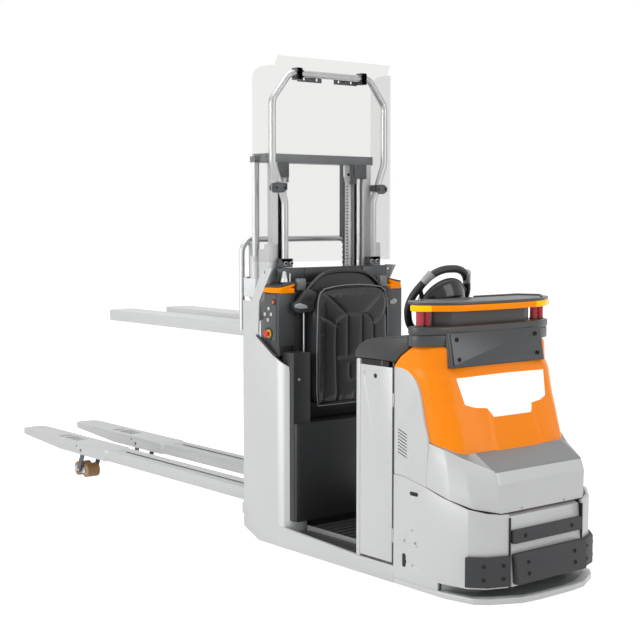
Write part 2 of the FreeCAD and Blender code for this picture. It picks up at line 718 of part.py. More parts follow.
# Plans of the drive end, each row (behind the front, inside the side)
SHELL_PLAN = [(280.0, 0.0), (150.0, 28.0), (95.0, 80.0), (58.0, 173.0)]
SKIRT_PLAN = [(260.0, 0.0), (123.0, 31.0), (76.0, 79.0), (11.0, 207.0), (0.0, 300.0)]
# Plans of the nose cover at several heights: (height, rows as above)
NOSE_PLANS = [
    (389.0, [(369.0, 0.0), (250.0, 22.0), (150.0, 65.0), (77.0, 147.0)]),
    (558.0, [(360.0, 0.0), (270.0, 40.0), (180.0, 85.0), (97.0, 132.0)]),
    (624.0, [(360.0, 0.0), (310.0, 38.0), (260.0, 78.0), (215.0, 118.0)]),
    (632.0, [(360.0, 0.0), (340.0, 20.0), (320.0, 40.0), (300.0, 60.0)]),
    (660.0, [(360.0, 0.0), (357.0, 5.0), (352.0, 12.0), (345.0, 20.0)]),
]
# Front of the hood at several heights: (height, behind the front)
HOOD_FRONTS = [
    (600.0, 200.0),
    (756.0, 254.0),
    (CHIN_BOTTOM - 40.0, 308.0),
    (CHIN_BOTTOM, 338.0),
    (HOOD_TOP, 372.0),
]
HOOD_CENTRE = FRONT - 580.0
HOOD_HALF = SIDE - 2.0
HOOD_POWER = 4.0
HOOD_STEPS = 7
CONSOLE_PLAN = [(490.0, 2.0), (443.0, 2.0), (362.0, 107.0), (374.0, 260.0)]
NECK_PLAN = [(490.0, 100.0), (440.0, 100.0), (390.0, 170.0)]
STRIP_PLAN = [(480.0, 1.0), (445.0, 1.0), (342.0, 160.0), (318.0, 340.0)]
COUNTER_PLAN = [(560.0, 60.0), (447.0, 4.0), (346.0, 162.0), (322.0, 340.0)]


def placed(rows):
    """Rows (behind the front, inside the side) as (x, y)."""
    return [(FRONT - behind, SIDE - inside) for behind, inside in rows]


def hood_plan(front):
    """Rows (x, y) of the hood's plan, a superellipse from the side to near the middle."""
    rows = []
    for step in range(1, HOOD_STEPS + 1):
        turn = math.pi / 2 * (step - 0.5) / HOOD_STEPS
        scale = (math.cos(turn) ** HOOD_POWER + math.sin(turn) ** HOOD_POWER) ** (-1 / HOOD_POWER)
        rows.append((HOOD_CENTRE + (front - HOOD_CENTRE) * scale * math.sin(turn),
                     HOOD_HALF * scale * math.cos(turn)))
    return rows


def drive_end():
    """Lower shell, skirt, side panels, hood and nose of the drive compartment."""
    rows = [(DRIVE_BACK, SIDE)] + placed(SHELL_PLAN)
    outer = plan_prism(half_plan(rows), SKIRT_TOP, SPLIT_Z)
    inner_rows = [(DRIVE_BACK - 1.0 + SHELL_WALL, SIDE)] + placed(SHELL_PLAN)
    inner = plan_prism(half_plan(inner_rows, SHELL_WALL), SKIRT_TOP - 1.0, SPLIT_Z + 1.0)
    above_rows = [
        (SPLIT_BACK, SPLIT_Z),
        (SPLIT_MIDDLE, shell_top(SPLIT_MIDDLE)),
        (SPLIT_FRONT, shell_top(SPLIT_FRONT)),
        (FRONT, shell_top(SPLIT_FRONT)),
        (FRONT, SPLIT_Z + 1.0),
        (SPLIT_BACK, SPLIT_Z + 1.0),
    ]
    above = side_prism(above_rows, -SIDE, SIDE)
    slit = box(SLIT_BACK, FRONT, -SIDE, SIDE, SKIRT_TOP, SLIT_TOP)
    window = box(BUMPER_BACK, FRONT, -BUMPER_HALF - SHELL_GAP, BUMPER_HALF + SHELL_GAP, SKIRT_TOP, SPLIT_Z)
    shell = outer.cut(inner).cut(above).cut(slit).cut(window)
    for x, z, radius in ((FRONT - 443.0, 430.0, 8.0), (FRONT - 503.0, 129.0, LASHING_RADIUS)):
        shell = shell.cut(cylinder(x, -SIDE - 1.0, z, radius, 2 * SIDE + 2.0, V(0, 1, 0)))
    node("drive_shell", shell)
    skirt_rows = [(DRIVE_BACK, SIDE)] + placed(SKIRT_PLAN)
    skirt_inner = [(DRIVE_BACK - 1.0 + SKIRT_WIDTH, SIDE)] + placed(SKIRT_PLAN)
    skirt = plan_prism(half_plan(skirt_rows), SILL_BOTTOM, SKIRT_TOP)
    skirt = skirt.cut(plan_prism(half_plan(skirt_inner, SKIRT_WIDTH), 0.0, SKIRT_TOP + 1.0))
    node("skirt", skirt)
    panel_rows = [
        (DRIVE_BACK, SPLIT_Z),
        (SPLIT_BACK, SPLIT_Z),
        (SPLIT_MIDDLE, shell_top(SPLIT_MIDDLE)),
        (FRONT - 360.0, 660.0),
        (FRONT - 384.0, 731.0),
        (FRONT - 419.0, 882.0),
        (FRONT - 453.0, 932.0),
        (FRONT - 508.0, PANEL_TOP - 2.0),
        (DRIVE_BACK, PANEL_TOP),
    ]
    panel = side_prism(panel_rows, SIDE - SHEET, SIDE)
    for index in range(LOUVRE_COUNT):
        z = LOUVRE_BOTTOM + index * LOUVRE_PITCH
        slot_rows = [
            (LOUVRE_BACK, z + LOUVRE_RISE),
            (LOUVRE_BACK + LOUVRE_LENGTH, z),
            (LOUVRE_BACK + LOUVRE_LENGTH, z + LOUVRE_WIDTH),
            (LOUVRE_BACK, z + LOUVRE_RISE + LOUVRE_WIDTH),
        ]
        slot = side_prism(slot_rows, SIDE - SHEET - 1.0, SIDE + 1.0)
        panel = panel.cut(slot)
    node("drive_panels", pair(panel))
    nose_sections = [(z, placed(plan)) for z, plan in NOSE_PLANS]
    nose_back = SPLIT_MIDDLE
    nose = ruled_body(nose_sections, nose_back - 2.0)
    cavity_sections = [(z - SHELL_WALL, rows) for z, rows in nose_sections[:3]]
    cavity_sections[0] = (300.0, cavity_sections[0][1])
    cavity = ruled_body(cavity_sections, nose_back - 60.0, SHELL_WALL)
    under_rows = [
        (nose_back - 10.0, shell_top(nose_back) + SHELL_GAP),
        (nose_back, shell_top(nose_back) + SHELL_GAP),
        (SPLIT_FRONT, shell_top(SPLIT_FRONT) + SHELL_GAP),
        (FRONT, shell_top(SPLIT_FRONT) + SHELL_GAP),
        (FRONT, 300.0),
        (nose_back - 10.0, 300.0),
    ]
    nose = nose.cut(side_prism(under_rows, -SIDE, SIDE)).cut(cavity).cut(panel).cut(mirrored(panel))
    node("nose_cover", nose)
    hood_sections = [(z, hood_plan(FRONT - behind)) for z, behind in HOOD_FRONTS]
    hood = ruled_body(hood_sections, DRIVE_BACK)
    hollow_sections = [(z - 15.0, rows) for z, rows in hood_sections]
    hollow = ruled_body(hollow_sections, DRIVE_BACK, SHELL_WALL)
    whole_nose = ruled_body(nose_sections, nose_back - 2.0)
    vent = box(LOUVRE_BACK - 6.0, LOUVRE_BACK + LOUVRE_LENGTH + 6.0, -SIDE, SIDE, LOUVRE_BOTTOM - 6.0,
               LOUVRE_BOTTOM + LOUVRE_COUNT * LOUVRE_PITCH + LOUVRE_RISE)
    hood = hood.cut(hollow).cut(whole_nose).cut(panel).cut(mirrored(panel)).cut(lid_prism(SIDE)).cut(vent)
    node("hood", main_body(hood))


def bumper_face(z):
    """X of the sloping front of the bumper box at a height."""
    return BUMPER_FACE + (BUMPER_EDGE - z) * BUMPER_SLOPE


def bumper():
    """Bumper box in the middle of the nose and the rubber pads on it and beside it."""
    rows = [
        (BUMPER_BACK, SLIT_TOP + 5.0),
        (bumper_face(SLIT_TOP + 5.0), SLIT_TOP + 5.0),
        (BUMPER_FACE, BUMPER_EDGE),
        (BUMPER_FACE - 25.0, BUMPER_TOP),
        (BUMPER_BACK, BUMPER_TOP),
    ]
    solid = side_prism(rows, -BUMPER_HALF, BUMPER_HALF)
    wall = BUMPER_WALL
    inside = box(BUMPER_BACK - 1.0, BUMPER_FACE - 40.0, wall - BUMPER_HALF, BUMPER_HALF - wall,
                 SLIT_TOP + 5.0 + wall, BUMPER_TOP - wall)
    node("bumper_box", solid.cut(inside))
    pads = []
    half = BUMPER_HALF - 7.0
    for z0, z1, thick in ((261.0, 317.0, PAD_THICK), (94.0, 221.0, PAD_THICK + 8.0)):
        pad_rows = [
            (bumper_face(z0), z0),
            (bumper_face(z0) + thick, z0 + 4.0),
            (bumper_face(z1) + thick, z1 - 4.0),
            (bumper_face(z1), z1),
        ]
        pads.append(side_prism(pad_rows, -half, half))
    plan = placed(SHELL_PLAN)
    first, corner, last = plan[1], plan[2], plan[3]
    wrap = [first, corner, last, (last[0] + 14.0, last[1] + 6.0), (corner[0] + 14.0, corner[1] + 9.0),
            (first[0] + 10.0, first[1] + 11.0)]
    corner_pad = plan_prism(wrap, SLIT_TOP, 202.0)
    node("bumper_pads", Part.makeCompound(pads + [corner_pad, mirrored(corner_pad)]))


def console():
    """Console base with its badge plate, neck, beacons, light strip and counter."""
    plan = placed(CONSOLE_PLAN)
    base = plan_prism(half_plan(plan), PARTING_Z + PARTING_GAP, CONSOLE_TOP)
    groove = plan_prism(half_plan(plan, PARTING_DEPTH), PARTING_Z, PARTING_Z + PARTING_GAP)
    below = plan_prism(half_plan(plan, LOWER_INSET), CONSOLE_BOTTOM, PARTING_Z)
    face_rows = [
        (LID_FRONT + 40.0, CHIN_BOTTOM),
        (CHIN_LOW, CHIN_BOTTOM),
        (CHIN_HIGH, CHIN_TOP),
        (LID_FRONT + 40.0, CHIN_TOP),
    ]
    chin = side_prism(face_rows, -CHIN_HALF, CHIN_HALF)
    neck = plan_prism(half_plan(placed(NECK_PLAN)), CONSOLE_TOP, NECK_TOP)
    ahead_of_lid = box(LID_FRONT, FRONT, -SIDE, SIDE, CHIN_BOTTOM, NECK_TOP)
    node("console_base", fused([base, groove, below, chin, neck]).common(ahead_of_lid))
    plate_rows = [
        (CHIN_LOW + 0.5, CHIN_BOTTOM + 7.0),
        (CHIN_LOW + 0.5 + BADGE_THICK, CHIN_BOTTOM + 9.0),
        (CHIN_HIGH + 2.0 + BADGE_THICK, CHIN_TOP - 2.0),
        (CHIN_HIGH, CHIN_TOP),
    ]
    badge_half = CHIN_HALF - 17.0
    badge = side_prism(plate_rows, -badge_half, badge_half).cut(NODES["console_base"])
    node("badge_plate", badge)
    node("hood", main_body(NODES["hood"].cut(NODES["console_base"]).cut(badge)))
    beacons = []
    for y in BEACON_PLACES:
        beacons.append(cylinder(BEACON_X, y, CONSOLE_TOP, BEACON_RADIUS, NECK_TOP - CONSOLE_TOP, V(0, 0, 1)))
    node("beacons", Part.makeCompound(beacons + [mirrored(beacon) for beacon in beacons]))
    node("light_strip", plan_prism(half_plan(placed(STRIP_PLAN)), NECK_TOP, STRIP_TOP))
    counter = plan_prism(half_plan(placed(COUNTER_PLAN)), STRIP_TOP, COUNTER_TOP)
    rim = plan_prism(half_plan(placed(COUNTER_PLAN)), COUNTER_TOP, COUNTER_TOP + RIM_RISE)
    tray = plan_prism(half_plan(placed(COUNTER_PLAN), RIM_WIDTH), COUNTER_TOP, COUNTER_TOP + RIM_RISE)
    rim = rim.cut(tray).common(box(FRONT - 550.0, FRONT - 360.0, RIM_WIDTH, SIDE, STRIP_TOP, RING_Z + 100.0))
    node("console_counter", fused([counter, rim]))


def steering():
    """Steering column on the lid, hub dome and the six sided ring."""
    tilt = math.radians(RING_TILT)
    axis = V(-math.sin(tilt), 0, math.cos(tilt))
    forward = V(math.cos(tilt), 0, math.sin(tilt))
    centre = V(RING_X, 0, RING_Z)
    foot = centre - axis * HUB_DROP
    column = Part.makeCone(COLUMN_RADIUS, COLUMN_TOP_RADIUS, COLUMN_LENGTH, foot - axis * COLUMN_LENGTH, axis)
    stem = cylinder(foot.x, foot.y, foot.z, COLUMN_TOP_RADIUS, 260.0, axis * -1.0)
    over_lid = box(LID_SLOPE, LID_FRONT, -SIDE, SIDE, LID_BOTTOM + 20.0, RING_Z + 200.0)
    column = fused([column, stem]).common(over_lid).cut(NODES["compartment_lid"])
    node("steering_column", main_body(column))
    dome = cylinder(foot.x, foot.y, foot.z, HUB_RADIUS, HUB_DROP, axis)
    ball = Part.makeSphere(HUB_BALL, foot)
    cap = ball.common(cylinder(foot.x, foot.y, foot.z, HUB_BALL + 5.0, 140.0, axis))
    gap = cylinder(foot.x, foot.y, foot.z, HUB_BALL + 25.0, RUN_GAP, axis)
    hub = fused([dome, cap]).cut(gap)
    node("steering_hub", hub)
    corners = []
    for step in range(RING_SIDES):
        angle = 2 * math.pi * (step + 0.5) / RING_SIDES
        across = V(0, RING_RADIUS * math.sin(angle), 0)
        corners.append(centre + forward * (RING_RADIUS * math.cos(angle)) + across)
    start = (corners[0] + corners[1]) * 0.5
    path = [start] + corners[1:] + [corners[0], start]
    ring = bent_tube(path, RING_TUBE, RING_BEND)
    spokes = []
    for degrees in SPOKE_TURNS:
        angle = math.radians(degrees)
        out = forward * math.cos(angle) + V(0, math.sin(angle), 0)
        spokes.append(Part.makeCylinder(SPOKE_RADIUS, RING_RADIUS - 24.0, centre, out))
    node("steering_ring", fused([ring] + spokes).cut(hub))


def drive_frame():
    """Bulkhead and mounting plate that carry the drive and the castor."""
    half = SIDE - SHELL_WALL
    plate = box(DRIVE_BACK, BUMPER_BACK, -half, half, MOUNT_Z, MOUNT_Z + MOUNT_THICK)
    corner = placed(SHELL_PLAN)
    inside = plan_prism(half_plan([(DRIVE_BACK, SIDE)] + corner, SHELL_WALL), MOUNT_Z - 1.0, MOUNT_Z + 50.0)
    plate = plate.common(inside)
    plate = plate.cut(cylinder(DRIVE_X, DRIVE_Y, MOUNT_Z - 1.0, MOTOR_RADIUS + MOVE_GAP, 30.0, V(0, 0, 1)))
    bulkhead = box(DRIVE_BACK - SHEET, DRIVE_BACK, -SIDE, SIDE, SILL_TOP_BATTERY, LID_BOTTOM)
    low = box(DRIVE_BACK - SHEET, DRIVE_BACK, SILL_WIDTH - SIDE, SIDE - SILL_WIDTH,
              SILL_BOTTOM, SILL_TOP_BATTERY)
    pedestal = box(CASTOR_X - 50.0, CASTOR_X + 50.0, CASTOR_Y - 50.0, CASTOR_Y + 50.0,
                   CASTOR_HEAD + RUN_GAP, MOUNT_Z)
    slab = box(DRIVE_BACK - 1.0, CASTOR_X, CASTOR_Y - 30.0, CASTOR_Y + 30.0, MOUNT_Z - 40.0, MOUNT_Z)
    door_relief = []
    for y in (SIDE - 16.0, -SIDE - 1.0):
        door_relief.append(box(DRIVE_BACK - SHEET - 1.0, DRIVE_BACK - 1.0, y, y + 17.0,
                               DOOR_BOTTOM - 5.0, DOOR_TOP + 5.0))
    bulkhead = bulkhead.cut(door_relief[0]).cut(door_relief[1])
    node("drive_frame", fused([plate, bulkhead, low, pedestal, slab]))


def drive_unit():
    """Steered turret with its motor, and the drive wheel."""
    low = MOUNT_Z - TURN_RING
    ring = cylinder(DRIVE_X, DRIVE_Y, low, TURN_RING_RADIUS, TURN_RING - RUN_GAP, V(0, 0, 1))
    motor = cylinder(DRIVE_X, DRIVE_Y, low, MOTOR_RADIUS, MOTOR_TOP - low, V(0, 0, 1))
    half = DRIVE_WIDTH / 2
    gear_y = DRIVE_Y + half + MOVE_GAP
    gear = box(DRIVE_X - GEAR_HALF, DRIVE_X + GEAR_HALF, gear_y, gear_y + GEAR_THICK, DRIVE_RADIUS - 45.0,
               low + 15.0)
    neck = box(DRIVE_X - GEAR_HALF - 5.0, DRIVE_X + GEAR_HALF + 5.0, DRIVE_Y - 60.0, gear_y + GEAR_THICK,
               DRIVE_RADIUS * 2 + 15.0, low + 15.0)
    bore = cylinder(DRIVE_X, gear_y - 1.0, DRIVE_RADIUS, DRIVE_SHAFT + RUN_GAP, 31.0, V(0, 1, 0))
    node("drive_turret", fused([ring, motor, gear, neck]).cut(bore))
    tyre = cylinder(DRIVE_X, DRIVE_Y - half, DRIVE_RADIUS, DRIVE_RADIUS, DRIVE_WIDTH, V(0, 1, 0))
    hub = cylinder(DRIVE_X, DRIVE_Y - half - 1.0, DRIVE_RADIUS, RIM_RADIUS, RIM_DEPTH + 1.0, V(0, 1, 0))
    shaft = cylinder(DRIVE_X, DRIVE_Y, DRIVE_RADIUS, DRIVE_SHAFT, half + MOVE_GAP + 28.0, V(0, 1, 0))
    node("drive_wheel", fused([tyre.cut(hub), shaft]))


def castor():
    """Swivelling castor fork and its twin wheels."""
    axle_x = CASTOR_X - CASTOR_TRAIL
    plate_z = CASTOR_HEAD - CASTOR_PLATE
    plate = cylinder(CASTOR_X, CASTOR_Y, plate_z, 48.0, CASTOR_PLATE, V(0, 0, 1))
    leg_rows = [
        (CASTOR_X + 25.0, plate_z),
        (CASTOR_X - 40.0, plate_z),
        (axle_x - 20.0, CASTOR_RADIUS),
        (axle_x - 12.0, CASTOR_RADIUS - 18.0),
        (axle_x + 12.0, CASTOR_RADIUS - 18.0),
        (axle_x + 20.0, CASTOR_RADIUS),
    ]
    half = CASTOR_LEG / 2
    leg = side_prism(leg_rows, CASTOR_Y - half, CASTOR_Y + half)
    bore = cylinder(axle_x, CASTOR_Y - half - 1.0, CASTOR_RADIUS, CASTOR_PIN + RUN_GAP, CASTOR_LEG + 2.0,
                    V(0, 1, 0))
    node("castor_fork", fused([plate, leg]).cut(bore))
    near = half + MOVE_GAP - 1.0
    axle_length = 2 * (near + CASTOR_WIDTH)
    axle = cylinder(axle_x, CASTOR_Y - axle_length / 2, CASTOR_RADIUS, CASTOR_PIN, axle_length, V(0, 1, 0))
    wheels = [axle]
    for y in (CASTOR_Y - near - CASTOR_WIDTH, CASTOR_Y + near):
        wheels.append(cylinder(axle_x, y, CASTOR_RADIUS, CASTOR_RADIUS, CASTOR_WIDTH, V(0, 1, 0)))
    recesses = []
    for y in (CASTOR_Y - near - CASTOR_WIDTH - 1.0, CASTOR_Y + near + CASTOR_WIDTH - CASTOR_RECESS):
        recess = cylinder(axle_x, y, CASTOR_RADIUS, CASTOR_RADIUS * 0.6, CASTOR_RECESS + 1.0, V(0, 1, 0))
        recesses.append(recess.cut(axle))
    node("castor_wheels", fused(wheels).cut(recesses[0]).cut(recesses[1]))


def load_arm():
    """One load arm about y = 0: the wide paddle, the narrow part and the roller openings."""
    half = PADDLE_WIDTH / 2
    narrow = ARM_WIDTH / 2
    bottom = ARM_TOP - ARM_DEPTH
    taper = half - narrow
    plan = [
        (TIP, half - 45.0),
        (TIP + 14.0, half - 20.0),
        (TIP + 40.0, half - 6.0),
        (TIP + 90.0, half),
        (PADDLE_BACK - taper, half),
        (PADDLE_BACK, narrow),
        (ARM_END, narrow),
    ]
    whole = plan_prism(half_plan(plan), bottom, ARM_TOP)
    inside_paddle = box(TIP + NOSE_LENGTH, PADDLE_BACK - taper, ARM_WALL - half, half - ARM_WALL,
                        bottom - 1.0, ARM_TOP - ARM_PLATE)
    inside_narrow = box(PADDLE_BACK - taper - 1.0, ARM_END - ARM_WALL, ARM_WALL - narrow, narrow - ARM_WALL,
                        bottom - 1.0, ARM_TOP - ARM_PLATE)
    taper_end = TIP + TAPER_LENGTH
    wedge = side_prism([(TIP - 1.0, ARM_TOP - TIP_THICK), (taper_end, bottom), (taper_end, bottom - 1.0),
                        (TIP - 1.0, bottom - 1.0)], -half, half)
    arm = whole.cut(inside_paddle).cut(inside_narrow).cut(wedge)
    for back, front in ARM_WINDOWS:
        arm = arm.cut(box(TIP + back, TIP + front, -WINDOW_HALF, WINDOW_HALF, ARM_TOP - ARM_PLATE - 1.0,
                          ARM_TOP + 1.0))
    groove = box(PADDLE_BACK + 45.0, ARM_END - 50.0, -GROOVE_HALF, GROOVE_HALF, ARM_TOP - GROOVE_DEPTH,
                 ARM_TOP + 1.0)
    pin_hole = cylinder(LINK_X, -half - 1.0, LINK_Z, ROLLER_PIN + RUN_GAP, PADDLE_WIDTH + 2.0, V(0, 1, 0))
    arm = arm.cut(groove).cut(pin_hole)
    root = box(ARM_END - 30.0, BASE_BACK + 10.0, ARM_WALL - narrow, narrow - ARM_WALL, BASE_BOTTOM, BASE_TOP)
    return fused([arm, root])


def load_section():
    """Load arms, the base beam that joins them and the outer mast with its cylinders."""
    arm = load_arm()
    base = box(BASE_BACK, MAST_FRONT, -BASE_HALF, BASE_HALF, BASE_BOTTOM, BASE_TOP)
    arms = [arm.translated(V(0, ARM_Y, 0)), arm.translated(V(0, -ARM_Y, 0))]
    node("load_arms", fused(arms + [base]))
    web = box(MAST_BACK, MAST_FRONT, MAST_HALF - MAST_WEB, MAST_HALF, BASE_TOP, MAST_TOP)
    profile = [web]
    for x in (MAST_BACK, MAST_FRONT - MAST_FLANGE):
        profile.append(box(x, x + MAST_FLANGE, MAST_HALF - MAST_LIP, MAST_HALF, BASE_TOP, MAST_TOP))
    step = box(MAST_BACK - 1.0, BEAM_FRONT + MOVE_GAP, MAST_HALF - MAST_LIP - 1.0, MAST_HALF + 1.0,
               BEAM_SEAT, MAST_TOP + 1.0)
    outer = fused(profile).cut(step)
    node("outer_mast", pair(outer))
    body = cylinder(CYL_X, CYL_Y, BASE_TOP, CYL_RADIUS, CYL_TOP - BASE_TOP, V(0, 0, 1))
    bore = cylinder(CYL_X, CYL_Y, CYL_BORE_BOTTOM, ROD_RADIUS + RUN_GAP, CYL_TOP, V(0, 0, 1))
    node("lift_cylinders", pair(body.cut(bore)))
    clamp = box(CLAMP_BACK, MAST_BACK, CYL_Y - CYL_RADIUS - 2.0, CYL_Y + CYL_RADIUS + 3.0, CLAMP_BOTTOM,
                CLAMP_BOTTOM + CLAMP_HEIGHT)
    bore = cylinder(CYL_X, CYL_Y, CLAMP_BOTTOM - 10.0, CYL_RADIUS, CLAMP_HEIGHT + 20.0, V(0, 0, 1))
    clamp = clamp.cut(bore)
    node("cylinder_clamps", pair(clamp))


def inner_mast():
    """Inner profiles, the crossbeam with its gussets, the rods and the chains."""
    web = box(INNER_BACK, INNER_FRONT, INNER_HALF - MAST_WEB, INNER_HALF, INNER_BOTTOM, BEAM_BOTTOM)
    profile = [web]
    for x in (INNER_BACK, INNER_FRONT - MAST_FLANGE):
        profile.append(box(x, x + MAST_FLANGE, INNER_HALF - MAST_LIP, INNER_HALF, INNER_BOTTOM, BEAM_BOTTOM))
    runner = box(MAST_BACK + MAST_FLANGE + RUN_GAP, MAST_FRONT - MAST_FLANGE - RUN_GAP, INNER_HALF - 1.0,
                 MAST_HALF - MAST_WEB - RUN_GAP, INNER_BOTTOM + 20.0, INNER_BOTTOM + 100.0)
    inner = fused(profile + [runner.common(box(0, MAST_FRONT, INNER_HALF, MAST_HALF, 0, MAST_TOP))])
    node("inner_mast", pair(inner))
    beam = box(BEAM_BACK, BEAM_FRONT, -BEAM_HALF, BEAM_HALF, BEAM_BOTTOM, BEAM_TOP)
    lug = box(CYL_X - 20.0, CYL_X + 20.0, BEAM_HALF - 1.0, CYL_Y + 20.0, BEAM_BOTTOM, BEAM_TOP - 13.0)
    gusset_front = INNER_HALF - MAST_LIP - 1.0
    gusset = box(INNER_BACK + MAST_FLANGE, BEAM_FRONT, gusset_front - GUSSET_WIDTH, gusset_front,
                 BEAM_BOTTOM - GUSSET_DROP, BEAM_BOTTOM)
    cheek = CHAIN_Y + CHAIN_WIDTH / 2 + 1.0
    bracket = box(CHAIN_X - 16.0, CHAIN_X + 16.0, cheek, cheek + 8.0, CHAIN_TOP - 20.0, BEAM_BOTTOM)
    tie = box(CHAIN_X - 6.0, CHAIN_X + 6.0, cheek - 1.0, cheek, CHAIN_TOP - 6.0, CHAIN_TOP + 6.0)
    sides = [lug, gusset, bracket, tie]
    node("mast_crossbeam", fused([beam] + sides + [mirrored(shape) for shape in sides]))
    rod = cylinder(CYL_X, CYL_Y, ROD_BOTTOM, ROD_RADIUS, BEAM_BOTTOM - ROD_BOTTOM, V(0, 0, 1))
    node("lift_rods", pair(rod))
    outer_radius = PULLEY_RADIUS + CHAIN_THICK
    y0 = CHAIN_Y - CHAIN_WIDTH / 2
    loops = []
    for radius, grow in ((outer_radius, 0.0), (PULLEY_RADIUS, 1.0)):
        y = y0 - grow
        width = CHAIN_WIDTH + 2 * grow
        loops.append(fused([
            cylinder(CHAIN_X, y, CHAIN_TOP, radius, width, V(0, 1, 0)),
            cylinder(CHAIN_X, y, CHAIN_BOTTOM, radius, width, V(0, 1, 0)),
            box(CHAIN_X - radius, CHAIN_X + radius, y, y + width, CHAIN_BOTTOM, CHAIN_TOP),
        ]))
    pulley = cylinder(CHAIN_X, y0, CHAIN_TOP, PULLEY_RADIUS, CHAIN_WIDTH, V(0, 1, 0))
    links = []
    count = int((CHAIN_TOP - CHAIN_BOTTOM - 2 * LINK_END) / LINK_PITCH)
    for index in range(count):
        z = CHAIN_BOTTOM + LINK_END + index * LINK_PITCH
        for x in (CHAIN_X - outer_radius - LINK_PROUD, CHAIN_X + PULLEY_RADIUS - LINK_PROUD):
            links.append(box(x, x + CHAIN_THICK + 2 * LINK_PROUD,
                             y0 - LINK_PROUD, y0 + CHAIN_WIDTH + LINK_PROUD, z, z + LINK_PITCH * 0.6))
    chain = fused([loops[0].cut(loops[1]), pulley] + links)
    node("mast_chains", pair(chain))


def carriage():
    """Fork carriage with its runners, the upper forks and the load guard."""
    front = PLATE_BACK + PLATE_THICK
    pieces = [box(PLATE_BACK, front, -PLATE_HALF, PLATE_HALF, PLATE_BOTTOM, PLATE_TOP)]
    for side in (1, -1):
        lo, hi = sorted((side * HANGER_INNER, side * (HANGER_INNER + HANGER_THICK)))
        pieces.append(box(front - 1.0, HANGER_FRONT, lo, hi, PLATE_BOTTOM + 10.0, PLATE_TOP - 5.0))
        out_lo, out_hi = sorted((side * (HANGER_INNER + HANGER_THICK - 1.0),
                                 side * (INNER_HALF - MAST_WEB - RUN_GAP)))
        for z in (PLATE_BOTTOM + 20.0, PLATE_TOP - 85.0):
            pieces.append(box(INNER_BACK + MAST_FLANGE + RUN_GAP, INNER_FRONT - MAST_FLANGE - RUN_GAP,
                              out_lo, out_hi, z, z + 70.0))
        lo, hi = sorted((side * (ARM_Y - 30.0), side * (ARM_Y + 30.0)))
        root_z = FORK_TOP - FORK_ROOT_STEP
        pieces.append(side_prism([(PLATE_BACK - FORK_ROOT + 5.0, root_z), (PLATE_BACK, root_z),
                                  (PLATE_BACK, PLATE_TOP - 90.0)], lo, hi))
    node("fork_carriage", fused(pieces))
    half = PADDLE_WIDTH / 2
    plan = [
        (FORK_TIP, half - 30.0),
        (FORK_TIP + 12.0, half - 10.0),
        (FORK_TIP + 45.0, half),
        (PLATE_BACK, half),
    ]
    whole = plan_prism(half_plan(plan), FORK_TOP - FORK_DEPTH, FORK_TOP)
    inside = box(FORK_TIP + 30.0, PLATE_BACK + 1.0, FORK_WALL - half, half - FORK_WALL,
                 FORK_TOP - FORK_DEPTH - 1.0, FORK_TOP - FORK_PLATE)
    root = box(PLATE_BACK - FORK_ROOT, PLATE_BACK + 1.0, -half, half,
               FORK_TOP - FORK_ROOT_STEP, FORK_TOP + 1.0)
    fork = whole.cut(inside).cut(root)
    forks = [fork.translated(V(0, y, 0)) for y in (ARM_Y, -ARM_Y)]
    node("upper_forks", Part.makeCompound(forks))
    rail_rows = [
        (GUARD_HALF, PLATE_BOTTOM + 20.0),
        (GUARD_HALF, GUARD_TOP),
        (-GUARD_HALF, GUARD_TOP),
        (-GUARD_HALF, PLATE_BOTTOM + 20.0),
    ]
    rail = bent_tube([V(GUARD_X, y, z) for y, z in rail_rows], GUARD_RADIUS, GUARD_BEND)
    pieces = [rail]
    for side in (1, -1):
        lo, hi = sorted((side * (PLATE_HALF - 20.0), side * GUARD_HALF))
        for z in (PLATE_BOTTOM + 20.0, PLATE_TOP - 60.0):
            pieces.append(box(GUARD_X - 10.0, PLATE_BACK, lo, hi, z, z + 30.0))
        lo, hi = sorted((side * (PLATE_HALF - 6.0), side * PLATE_HALF))
        upright = box(GUARD_X + GUARD_RADIUS - 5.0, PLATE_BACK + 5.0, lo, hi,
                      PLATE_TOP - 140.0, GUARD_TOP - 10.0)
        pieces.append(upright.cut(box(PLATE_BACK, PLATE_BACK + 10.0, lo, hi, PLATE_BOTTOM, PLATE_TOP)))
        pieces.append(box(GUARD_X, PLATE_BACK, lo, hi, GUARD_TOP - 30.0, GUARD_TOP - 10.0))
    node("load_guard", fused(pieces))


